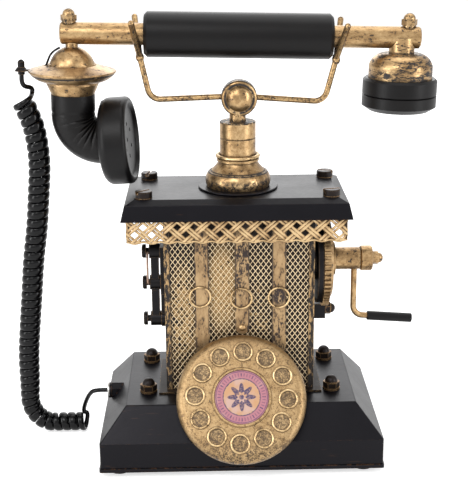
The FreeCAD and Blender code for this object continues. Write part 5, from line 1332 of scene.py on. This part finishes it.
@dataclass
class CurlyCord(Assembly):
    """The curly cord, a flattened lead wound in turns, with its two plain leads."""

    route: tuple[Place, ...] = (
        (-119.0, 0.0, 206.5),
        (-116.6, 0.0, 200.5),
        (-112.9, 0.0, 190.0),
        (-111.2, 0.3, 172.0),
        (-113.2, 1.0, 152.0),
        (-115.2, 2.0, 133.0),
        (-118.8, 3.2, 112.0),
        (-120.9, 4.5, 92.0),
        (-123.3, 6.0, 73.0),
        (-125.6, 7.3, 52.0),
        (-126.0, 8.4, 33.0),
        (-127.0, 9.2, 17.0),
        (-118.6, 10.0, 6.2),
        (-105.0, 10.6, 6.2),
        (-93.5, 10.2, 6.2),
    )
    upper_lead: Place = (-113.6, 4.2, 213.0)
    lower_lead: tuple[Place, ...] = ((-96.0, 16.0, 9.5), (-93.5, 11.5, 19.0), (-89.6, 6.5, 27.4))
    terminal: Place = (-118.9, 0.0, ROD_Z - 22.8)
    gland: Place = (-81.41, 4.0, 29.6)
    gland_end: Place = (-78.81, 4.0, 29.6)
    lead_radius: float = 1.3
    centre_radius: float = 4.5
    pitch: float = 5.0
    last_turn: float = 0.25
    lead_reach: float = 4.0
    straight: float = 2.6
    band_half_width: float = 2.9
    band_half_thickness: float = 1.15
    band_gap: float = 0.485
    squareness: float = 0.12
    hang_swell: float = 0.62
    hang_from: float = 20.0
    hang_over: float = 25.0
    blend_from: float = 12.0
    blend_to: Place = (-118.9, 0.0, 218.0)
    stations_per_turn: int = 26
    corners: int = 16

    def build(self) -> None:
        points, sides, widths = self.line()
        piece = self.tube(points, sides, widths)
        wear_finish(piece, self.finishes.cord)
        smooth(piece, 60.0)
        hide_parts("curly_cord")
        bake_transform(piece)

    def line(self) -> tuple[list[Vector], list[Vector], list[float]]:
        """Works out the cord's centreline.

        Returns:
            The points of the line, the direction of the band's thin side at each, and the share
            of the band's flat section at each, from 0 on a lead to 1 in the turns.
        """
        down = (Matrix.Rotation(HEAD_TILT, 3, "Y") @ Vector((0.0, 0.0, -1.0))).normalized()
        start = tilted(self.terminal)
        below = start + down * self.straight * MM
        coil, radial = self.coil()
        first = (coil[1] - coil[0]).normalized()
        last = (coil[-1] - coil[-2]).normalized()
        reach = self.lead_reach * MM
        upper = smooth_line([
            below, below + down * reach, metres(self.upper_lead), coil[0] - first * reach,
            coil[0]])
        gland, gland_end = metres(self.gland), metres(self.gland_end)
        inwards = (gland_end - gland).normalized()
        lower = smooth_line([
            coil[-1], coil[-1] + last * reach, *map(metres, self.lower_lead),
            gland - inwards * reach, gland])
        points = [start, *upper, *coil[1:-1], *lower, gland_end]
        before, turns = 1 + len(upper), len(coil) - 2
        sides: list[Vector] = []
        shares: list[float] = []
        ease = self.stations_per_turn
        for index in range(len(points)):
            inside = index - before
            if 0 <= inside < turns:
                sides.append(radial[inside + 1])
                shares.append(min(1.0, (inside + 1) / ease, (turns - inside) / ease))
            else:
                sides.append(radial[0] if inside < 0 else radial[-1])
                shares.append(0.0)
        return points, sides, shares

    def coil(self) -> tuple[list[Vector], list[Vector]]:
        """Winds the turns round the route.

        Returns:
            The turns' points and the direction away from the route at each.
        """
        route = smooth_line([metres(point) for point in self.route], 40)
        distances = [0.0]
        for before, after in zip(route, route[1:]):
            distances.append(distances[-1] + (after - before).length)
        total = distances[-1]
        turns = round(total / (self.pitch * MM)) - self.last_turn
        pitch = total / turns
        step = pitch / self.stations_per_turn
        points, radial = [], []
        side = Vector((0.0, 1.0, 0.0))
        index, wanted = 0, 0.0
        while wanted <= total + 1e-9:
            while index < len(route) - 2 and distances[index + 1] < wanted:
                index += 1
            share = (wanted - distances[index]) / max(distances[index + 1] - distances[index], 1e-9)
            centre = route[index].lerp(route[index + 1], min(1.0, share))
            ahead = route[min(index + 2, len(route) - 1)]
            along = (ahead - route[max(index - 1, 0)]).normalized()
            side = (side - along * side.dot(along)).normalized()
            across = along.cross(side)
            angle = 2 * math.pi * (wanted - total) / pitch
            out = side * math.cos(angle) + across * math.sin(angle)
            hang = max(0.0, min(1.0, (centre.z / MM - self.hang_from) / self.hang_over))
            points.append(centre + out * (self.centre_radius + self.hang_swell * hang) * MM)
            radial.append(out)
            wanted += step
        return points, radial

    def tube(self, points: list[Vector], sides: list[Vector], shares: list[float]) -> Piece:
        """Skins the line with a section that is round on the leads and flat in the turns.

        Args:
            points: The centreline.
            sides: The direction of the thin side at each point.
            shares: How flat the section is at each point.

        Returns:
            The cord's mesh object.
        """
        mesh = bmesh.new()
        rings = [
            [mesh.verts.new(corner) for corner in self.section(points, index, side, share)]
            for index, (side, share) in enumerate(zip(sides, shares))]
        for ring, following in zip(rings, rings[1:]):
            for corner in range(self.corners):
                after = (corner + 1) % self.corners
                mesh.faces.new((ring[corner], ring[after], following[after], following[corner]))
        mesh.faces.new(rings[0][::-1])
        mesh.faces.new(rings[-1])
        bmesh.ops.recalc_face_normals(mesh, faces=mesh.faces)
        data = bpy.data.meshes.new("curly_cord_turns")
        mesh.to_mesh(data)
        mesh.free()
        piece = bpy.data.objects.new("curly_cord_turns", data)
        bpy.context.scene.collection.objects.link(piece)
        return piece

    def section(
        self, points: list[Vector], index: int, side: Vector, share: float
    ) -> list[Vector]:
        """Lays the section out round one point of the line.

        Args:
            points: The centreline.
            index: The point's number.
            side: The direction of the thin side there.
            share: How flat the section is there.

        Returns:
            The section's corners.
        """
        point, turn, last = points[index], self.stations_per_turn, len(points) - 1
        along = (points[min(index + 1, last)] - points[max(index - 1, 0)]).normalized()
        thin = side - along * side.dot(along)
        thin = thin.normalized() if thin.length > 1e-6 else along.orthogonal().normalized()
        wide = along.cross(thin)
        beside = points[max(index - turn, 0)], points[min(index + turn, last)]
        room = min((other - point).length for other in beside)
        widest = max(self.lead_radius, min(self.band_half_width, self.band_gap * room / MM))
        half_wide = self.lead_radius + (widest - self.lead_radius) * share
        half_thin = self.lead_radius + (self.band_half_thickness - self.lead_radius) * share
        power = 1.0 - self.squareness * share
        corners = []
        for corner in range(self.corners):
            angle = 2 * math.pi * corner / self.corners
            c, t = math.cos(angle), math.sin(angle)
            u = math.copysign(abs(c) ** power, c) * half_wide
            v = math.copysign(abs(t) ** power, t) * half_thin
            corners.append(point + (wide * u + thin * v) * MM)
        return corners


# Base


class Base(Assembly):
    """The sheet base with its feet, nuts, gland and what it hides."""

    def build(self) -> None:
        """Dresses the base."""
        dress(self.finishes.sheet, "base_shell", "base_bottom_plate", "dial_bracket")
        dress(self.finishes.rubber, "rubber_feet")
        dress(self.finishes.hardware, "cap_nuts")
        dress(self.finishes.sheet, "gland_nut")
        dress(self.finishes.steel, "ringer_yoke", "cord_gland", "dial_spindle")
        dress(self.finishes.bell_brass, "ringer_gongs", "ringer_hammer")


# Column


@dataclass
class Column(Assembly):
    """The column with its net, straps, loops, trims and terminal bar."""

    cell_width: float = 3.0
    cell_height: float = 4.0
    strand: float = 0.215
    ridge: float = 0.3
    profile: tuple[tuple[float, float], ...] = ((0.45, 0.12), (0.55, 0.88))

    def build(self) -> None:
        """Builds the net and dresses the rest."""
        self.net()
        dress(self.finishes.column, "column_shell", "hook_switch")
        dress(self.finishes.trim, "corner_trims")
        dress(self.finishes.aged, "strap_rivet")
        dress(self.finishes.strap, "front_straps")
        dress(self.finishes.ring, "ring_loops")
        dress(
            self.finishes.fitting, "line_plate", "line_bar", "line_screws", "pawl_block",
            "bearing_plate")
        dress(self.finishes.sleeve, "line_wire")

    def net(self) -> None:
        """Builds the fine diamond net over the column's front."""
        low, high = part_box("mesh_front")
        width, height = high.x - low.x, high.z - low.z
        wide, tall = self.cell_width * MM, self.cell_height * MM
        across, up = math.ceil(width / wide) + 2, math.ceil(height / tall) + 2
        pick_nothing()
        bpy.ops.mesh.primitive_circle_add(vertices=4, radius=wide / 2, fill_type="NGON")
        cell = bpy.context.view_layer.objects.active
        depth = high.y - low.y
        with editing(cell):
            bpy.ops.mesh.select_all(action="SELECT")
            bpy.ops.transform.resize(value=(1.0, tall / wide, 1.0))
            bpy.ops.mesh.select_mode(type="FACE")
            bpy.ops.mesh.select_all(action="SELECT")
            for part, drop in self.profile:
                bpy.ops.mesh.inset(thickness=self.strand * part * MM, depth=-self.ridge * drop * MM)
            bpy.ops.mesh.extrude_region_move(
                TRANSFORM_OT_translate={"value": (0.0, 0.0, -(depth - self.ridge * MM) * 0.9)})
            bpy.ops.mesh.delete(type="FACE")
        half = copied(cell, "half_cell", Matrix.Translation((wide / 2, tall / 2, 0.0)))
        cell = joined([cell, half], "net")
        repeat(cell, across, (wide, 0.0, 0.0))
        repeat(cell, up, (0.0, tall, 0.0))
        cell.data.transform(
            Matrix.Translation(((low.x + high.x) / 2, low.y, (low.z + high.z) / 2))
            @ Matrix.Rotation(math.pi / 2, 4, "X")
            @ Matrix.Translation((-across * wide / 2, -up * tall / 2, 0.0)))
        with editing(cell):
            bpy.ops.mesh.select_all(action="SELECT")
            bpy.ops.mesh.remove_doubles(threshold=1e-6)
            trim((low.x, low.z), (high.x, high.z), fill=False)
        smooth(cell, 50.0)
        mark_depth(cell, lambda co: (co.y - low.y) / (high.y - low.y))
        wear_finish(cell, self.finishes.net)
        rides(cell, Body.STAND, Slot.NET, "mesh_front")
        log.info("net: %d by %d cells, %d faces", across, up, len(cell.data.polygons))


# Tray


@dataclass
class LaceStrand:
    """One weaving strand of the lace band."""

    half_width: float = 0.77
    thickness: float = 0.45
    crown: float = 0.34
    weave: float = 0.14
    steps: int = 12
    rows: int = 4

    def model(self, period: float, repeats: int) -> Piece:
        """Models a strand lying along X, centred, with its face up.

        Args:
            period: The length of one weave, over and under, in metres.
            repeats: How many weaves long it is.

        Returns:
            The strand.
        """
        pick_nothing()
        bpy.ops.mesh.primitive_grid_add(
            x_subdivisions=self.steps, y_subdivisions=self.rows, size=1.0)
        strand = bpy.context.view_layer.objects.active
        half = self.half_width * MM
        with editing(strand):
            bpy.ops.mesh.select_all(action="SELECT")
            bpy.ops.transform.resize(value=(period, 2 * half, 1.0))
            press(strand, lambda co: Vector((co.x, co.y, MM * (
                self.crown * (1 - (co.y / half) ** 2)
                + self.weave * math.sin(2 * math.pi * co.x / period)))))
        repeat(strand, repeats, (period, 0.0, 0.0), use_merge_vertices=True, merge_threshold=1e-6)
        strand.data.transform(Matrix.Translation((-(repeats - 1) * period / 2, 0.0, 0.0)))
        apply_modifier(strand, "SOLIDIFY", thickness=self.thickness * MM, offset=-1.0)
        return strand


@dataclass
class Tray(Assembly):
    """The folded tray with its screws and the lace band under it."""

    shift: float = -1.5
    lace_half_x: float = 60.7
    lace_half_y: float = 31.5
    lace_low: float = 131.4
    lace_high: float = 149.0
    cells_x: int = 13
    cells_y: int = 7
    row_z: float = 141.2
    row_step: float = 4.2
    pair_gap: float = 0.87
    hem_radius: float = 0.62
    hem_wave: float = 1.0
    hem_out: float = 0.08
    hem_steps: int = 8
    sink: float = 0.33
    cut_above: float = 1.3
    crest: float = 0.15
    relief: float = 0.95
    edge_in: float = 0.7
    edge_back: float = 0.65
    edge_above: float = 1.0
    edge_heights: tuple[float, ...] = (136.0, 142.0)
    over_length: float = 8.0

    def build(self) -> None:
        """Builds the lace and dresses the tray."""
        self.lace()
        dress(self.finishes.sheet, "tray_top", "pedestal_washer")
        dress(self.finishes.hardware, "tray_screws")

    def lace(self) -> None:
        """Builds the woven lace band round the four sides."""
        sides = []
        plan = (
            (self.lace_half_x, self.lace_half_y, self.cells_x),
            (self.lace_half_y, self.lace_half_x, self.cells_y),
        )
        for index, (half_length, out, cells) in enumerate(plan * 2):
            side = self.panel(half_length, cells, index)
            side.data.transform(
                Matrix.Translation((self.shift * MM, 0.0, 0.0))
                @ Matrix.Rotation(math.radians(90.0 * index), 4, "Z")
                @ Matrix.Translation((0.0, -out * MM, 0.0)))
            sides.append(side)
        band = joined(sides, "lace_band")
        smooth(band, 55.0)
        wear_finish(band, self.finishes.lace)
        rides(band, Body.STAND, Slot.OLD, "lace_skirt")
        log.info("lace: %d faces", len(band.data.polygons))

    def panel(self, half_length: float, cells: int, index: int) -> Piece:
        """Builds one side of the lace, facing the user with its face at Y 0.

        Args:
            half_length: Half the side's length in millimetres.
            cells: How many openings its upper row has.
            index: The side's number.

        Returns:
            The side.
        """
        pitch = 2 * half_length / cells
        slope = math.atan2(2 * self.row_step, pitch)
        crossing = pitch / (2 * math.cos(slope))
        strand = LaceStrand()
        length = (self.lace_high - self.lace_low + self.over_length) / math.sin(slope)
        repeats = math.ceil(length / (2 * crossing)) + 1
        pattern = strand.model(2 * crossing * MM, repeats)
        pieces = []
        middle_z = self.row_z + self.row_step
        for family, lean in ((0, 1.0), (1, -1.0)):
            phase = crossing * (family + 0.5) * MM
            for place in range(-2, cells + 3):
                x = -half_length + place * pitch
                for row, gap in ((0, -self.pair_gap), (1, self.pair_gap)):
                    matrix = (
                        Matrix.Translation((x * MM, 0.0, middle_z * MM))
                        @ Matrix.Rotation(math.pi / 2, 4, "X")
                        @ Matrix.Rotation(lean * slope, 4, "Z")
                        @ Matrix.Translation((phase, gap * MM, -self.sink * MM)))
                    name = f"strand_{index}_{family}_{place + 2}_{row}"
                    pieces.append(copied(pattern, name, matrix))
        discard(pattern)
        panel = joined(pieces, f"lace_side_{index}")
        with editing(panel):
            trim(
                (-half_length * MM, (self.lace_low + self.cut_above) * MM),
                (half_length * MM, self.lace_high * MM), fill=True)
        hem, selvedge = self.hem(half_length, cells, index), self.selvedge(half_length, index)
        whole = joined([panel, hem, selvedge], panel.name)
        mark_depth(whole, lambda co: (co.y / MM + self.crest) / self.relief)
        return whole

    def hem(self, half_length: float, cells: int, index: int) -> Piece:
        """Builds the scalloped lower edge of one side.

        Args:
            half_length: Half the side's length in millimetres.
            cells: How many scallops it has.
            index: The side's number.

        Returns:
            The edge.
        """
        pitch = 2 * half_length / cells
        steps = cells * self.hem_steps
        inset = self.hem_radius
        points = []
        for step in range(steps + 1):
            x = -half_length + 2 * half_length * step / steps
            wave = 1 + math.cos(2 * math.pi * x / pitch + math.pi * cells)
            z = self.lace_low + self.hem_radius + self.hem_wave * wave / 2
            kept = max(-half_length + inset, min(half_length - inset, x))
            points.append(metres((kept, inset - self.hem_out, z)))
        return wire_piece(f"lace_hem_{index}", points, self.hem_radius * MM)

    def selvedge(self, half_length: float, index: int) -> Piece:
        """Builds the upright edge at one end of a side.

        Args:
            half_length: Half the side's length in millimetres.
            index: The side's number.

        Returns:
            The edge.
        """
        x = -half_length + self.edge_in
        heights = (self.lace_low + self.edge_above, *self.edge_heights, self.lace_high)
        points = [metres((x, self.edge_back, z)) for z in heights]
        return wire_piece(f"lace_edge_{index}", points, self.hem_radius * MM)


# Pedestal and cradle


class Pedestal(Assembly):
    """The turned pedestal."""

    def build(self) -> None:
        """Dresses the pedestal."""
        dress(self.finishes.pedestal, "pedestal_bell", "pedestal_cone", "pedestal_post")
        dress(self.finishes.ring, "collar_ring")
        dress(self.finishes.dark_aged, "cradle_stem")


@dataclass
class Cradle(Assembly):
    """The wire cradle on its round head, with solder at its knots."""

    knot_x: float = 54.0
    knot_z: float = 228.76
    lump: float = 2.25
    bump_scale: float = 480.0
    bump_depth: float = 0.22
    drop_height: float = 1.6
    drop_depth: float = 0.105
    squeeze: Place = (0.92, 0.95, 1.2)

    def build(self) -> None:
        """Builds the solder lumps and dresses the wire and the head."""
        dress(self.finishes.wire, "cradle_wire")
        dress(self.finishes.button, "cradle_disc")
        for name, side in (("left", -1.0), ("right", 1.0)):
            self.solder(f"solder_{name}", side)

    def solder(self, name: str, side: float) -> None:
        """Builds a lumpy drop of solder round one knot.

        Args:
            name: The piece's name.
            side: Minus one on the left and one on the right.
        """
        centre = tilted((side * self.knot_x, 0.0, self.knot_z))
        pick_nothing()
        bpy.ops.mesh.primitive_ico_sphere_add(
            subdivisions=4, radius=self.lump * MM, location=centre)
        lump = bpy.context.view_layer.objects.active
        lump.name = name
        lump.data.transform(Matrix.Translation(centre))
        lump.location = (0.0, 0.0, 0.0)

        def swell(co: Vector) -> Vector:
            """Moves a point of the lump out or in by a little noise.

            Args:
                co: The point in metres.

            Returns:
                Its new place.
            """
            away = co - centre
            bumps = noise.noise(co * self.bump_scale + Vector((side * 3.0, 0.0, 0.0)))
            drop = math.exp(-((away.z / (self.drop_height * MM) + 1.0) ** 2))
            grown = 1.0 + self.bump_depth * bumps + self.drop_depth * drop
            return centre + away * Vector(self.squeeze) * grown

        with editing(lump):
            press(lump, swell)
        smooth(lump, 80.0)
        wear_finish(lump, self.finishes.wire)
        rides(lump, Body.CRADLE, Slot.OLD)


# Handset


@dataclass
class Elbow(Assembly):
    """The creased black elbow between the transmitter's cup and its mouthpiece."""

    top_z: float = ROD_Z - 33.2
    band: float = 11.0
    radius: float = 12.1
    bend_radius: float = 15.5
    turn: float = 96.0
    yaw: float = 5.7
    creases: float = 8.0
    depth: float = 1.15
    bend_steps: int = 110
    corners: int = 96
    seam: float = 0.45
    seam_above: float = 0.9
    seam_width: float = 0.4
    ease_in: float = 14.0
    ease_out: float = 10.0
    band_rings: int = 12

    def build(self) -> None:
        """Builds the elbow."""
        pick_nothing()
        bend_z = self.top_z - self.band
        bpy.ops.mesh.primitive_circle_add(
            vertices=self.corners, radius=self.radius * MM, fill_type="NGON",
            location=metres((TRANSMITTER_X, 0.0, bend_z)))
        piece = bpy.context.view_layer.objects.active
        piece.name = "creased_elbow"
        centre = metres((TRANSMITTER_X + self.bend_radius, 0.0, bend_z))
        piece.data.transform(Matrix.Translation(piece.location))
        piece.location = (0.0, 0.0, 0.0)
        with editing(piece):
            bpy.ops.mesh.select_all(action="SELECT")
            bpy.ops.mesh.spin(
                steps=self.bend_steps, angle=math.radians(self.turn), center=centre,
                axis=(0.0, 1.0, 0.0))
            pick(piece, lambda co: abs(co.z - bend_z * MM) < 1e-6 and co.x < centre.x)
            for _ in range(self.band_rings):
                bpy.ops.mesh.extrude_region_move(
                    TRANSFORM_OT_translate={"value": (0.0, 0.0, self.band / self.band_rings * MM)})
        tidy_mesh(piece, 1e-7)
        with editing(piece):
            press(piece, self.creased)
        for middle, turn in (
            (metres((TRANSMITTER_X, 0.0, 0.0)), Matrix.Rotation(-math.radians(self.yaw), 4, "Z")),
            (metres((0.0, 0.0, HEAD_PIVOT_Z)), Matrix.Rotation(HEAD_TILT, 4, "Y")),
        ):
            piece.data.transform(Matrix.Translation(middle) @ turn @ Matrix.Translation(-middle))
        smooth(piece, 70.0)
        wear_finish(piece, self.finishes.elbow)
        rides(piece, Body.HANDSET, Slot.GRIP, "elbow")
        log.info("elbow: %d faces", len(piece.data.polygons))

    def creased(self, co: Vector) -> Vector:
        """Presses creases into the bend's inner side and a seam into the band.

        Args:
            co: A point of the smooth elbow, in metres.

        Returns:
            The pressed point.
        """
        x, y, z = co / MM
        bend_z = self.top_z - self.band
        if z > bend_z:
            away = Vector((x - TRANSMITTER_X, y, 0.0))
            groove = math.exp(-(((z - bend_z - self.seam_above) / self.seam_width) ** 2))
            out = away * (1.0 - self.seam * groove / self.radius)
            return Vector((TRANSMITTER_X + out.x, out.y, z)) * MM
        centre_x = TRANSMITTER_X + self.bend_radius
        along = math.degrees(math.atan2(bend_z - z, centre_x - x))
        heading = Vector((-math.cos(math.radians(along)), 0.0, -math.sin(math.radians(along))))
        middle = Vector((centre_x, 0.0, bend_z)) + heading * self.bend_radius
        away = Vector((x, y, z)) - middle
        inner = -away.dot(heading) / self.radius
        weight = max(0.0, min(1.0, (inner + 0.75) / 1.35)) ** 1.3
        weight *= max(0.0, min(1.0, along / self.ease_in))
        weight *= max(0.0, min(1.0, (self.turn - along) / self.ease_out))
        drift = noise.noise(Vector((x, y, z)) * 0.11) * 1.1
        wander = noise.noise(Vector((along * 0.05, y * 0.12, 3.0))) * 0.9
        phase = self.creases * math.pi * along / self.turn + 0.10 * y + drift + wander
        fold = 1.0 - abs(math.sin(phase)) ** 0.6
        small = abs(noise.noise(Vector((x, y, z)) * 0.33)) * 0.35
        uneven = 0.5 + noise.noise(Vector((along * 0.09, y * 0.2, 9.0)))
        pressed = self.depth * weight * (0.35 + 0.65 * uneven) * fold
        pressed += 0.35 * weight * small + 0.12 * small
        return (middle + away * (1.0 - pressed / self.radius)) * MM


@dataclass
class Handset(Assembly):
    """The handset with its rod, grip, transmitter and receiver."""

    feed_radius: float = 0.6
    feed: tuple[Place, ...] = (
        (-97.0, -3.6, 233.6),
        (-99.6, -3.6, 232.4),
        (-102.4, -3.4, 229.8),
        (-103.8, -3.0, 226.4),
        (-104.8, -2.6, 223.8),
        (-106.0, -2.4, 222.8),
    )

    def build(self) -> None:
        """Builds the elbow and the feed wire and dresses the rest."""
        Elbow(self.finishes).build()
        points = [tilted(point) for point in self.feed]
        wire = wire_piece("feed_wire", points, self.feed_radius * MM)
        wear_finish(wire, self.finishes.cord)
        rides(wire, Body.HANDSET, Slot.GRIP)
        dress(self.finishes.rod, "handset_rod")
        dress(self.finishes.dark_aged, "handset_nuts")
        dress(self.finishes.aged, "transmitter_dome", "transmitter_saucer", "transmitter_cup")
        dress(self.finishes.worn_cap, "receiver_cap")
        dress(self.finishes.grip, "handset_grip", "mouthpiece", "receiver_cup")
        dress(self.finishes.fitting, "cord_terminal")
        dress(self.finishes.capsule, "mic_capsule", "receiver_capsule")


# Dial


@dataclass
class Dial(Assembly):
    """The round dial with its wire rings and printed card."""

    ring_radius: float = 5.6
    wire: float = 0.62
    corners: int = 12
    steps: int = 48
    uneven: float = 0.02
    own_turn: float = 47.0

    def build(self) -> None:
        """Builds the rings and dresses the pan and the card."""
        self.rings()
        dress(self.finishes.dial, "dial_pan")
        dress(self.finishes.card, "dial_card")

    def rings(self) -> None:
        """Bends one wire ring and solders its copies round the pan."""
        pick_nothing()
        bend = (self.ring_radius - self.wire) * MM
        bpy.ops.mesh.primitive_circle_add(
            vertices=self.corners, radius=self.wire * MM, rotation=(math.pi / 2, 0.0, 0.0))
        ring = bpy.context.view_layer.objects.active
        ring.data.transform(
            Matrix.Translation((bend, 0.0, 0.0)) @ Matrix.Rotation(math.pi / 2, 4, "X"))
        ring.rotation_euler = (0.0, 0.0, 0.0)
        with editing(ring):
            bpy.ops.mesh.select_all(action="SELECT")
            bpy.ops.mesh.spin(
                steps=self.steps, angle=2 * math.pi, center=(0.0, 0.0, 0.0), axis=(0.0, 0.0, 1.0))
            press(ring, lambda co: co * (1.0 + self.uneven * noise.noise(co * 300.0)))
        tidy_mesh(ring, 1e-5)
        place = Matrix.Translation(metres(DIAL_CENTRE)) @ Matrix.Rotation(
            math.pi / 2 - DIAL_LEAN, 4, "X")
        pieces = []
        for index in range(DIAL_HOLES):
            angle = math.radians(90.0 - DIAL_START - 360.0 * index / DIAL_HOLES)
            spot = Matrix.Translation(metres(
                (DIAL_CIRCLE * math.cos(angle), DIAL_CIRCLE * math.sin(angle), self.wire * 0.9)))
            own_turn = Matrix.Rotation(math.radians(self.own_turn * index), 4, "Z")
            pieces.append(copied(ring, f"wire_ring_{index}", place @ spot @ own_turn))
        discard(ring)
        rings = joined(pieces, "wire_rings")
        smooth(rings, 60.0)
        wear_finish(rings, self.finishes.ring)
        rides(rings, Body.DIAL, Slot.DIAL, "dial_rings")


# Crank


class Crank(Assembly):
    """The hand crank with its toothed wheel."""

    def build(self) -> None:
        """Dresses the crank."""
        dress(
            self.finishes.aged, "drive_gear", "crank_tube", "crank_collar", "crank_cap_nut",
            "crank_arm")
        dress(self.finishes.steel, "crank_shaft")
        dress(self.finishes.grip, "crank_grip")


def main() -> None:
    """Builds the stage and every sub-assembly in turn."""
    Studio().build()
    finishes = Finishes.make()
    for assembly in (CurlyCord, Base, Column, Tray, Pedestal, Cradle, Handset, Dial, Crank):
        assembly(finishes).build()
        log.info("%s: done", assembly.__name__)


if __name__ == "__main__":
    main()
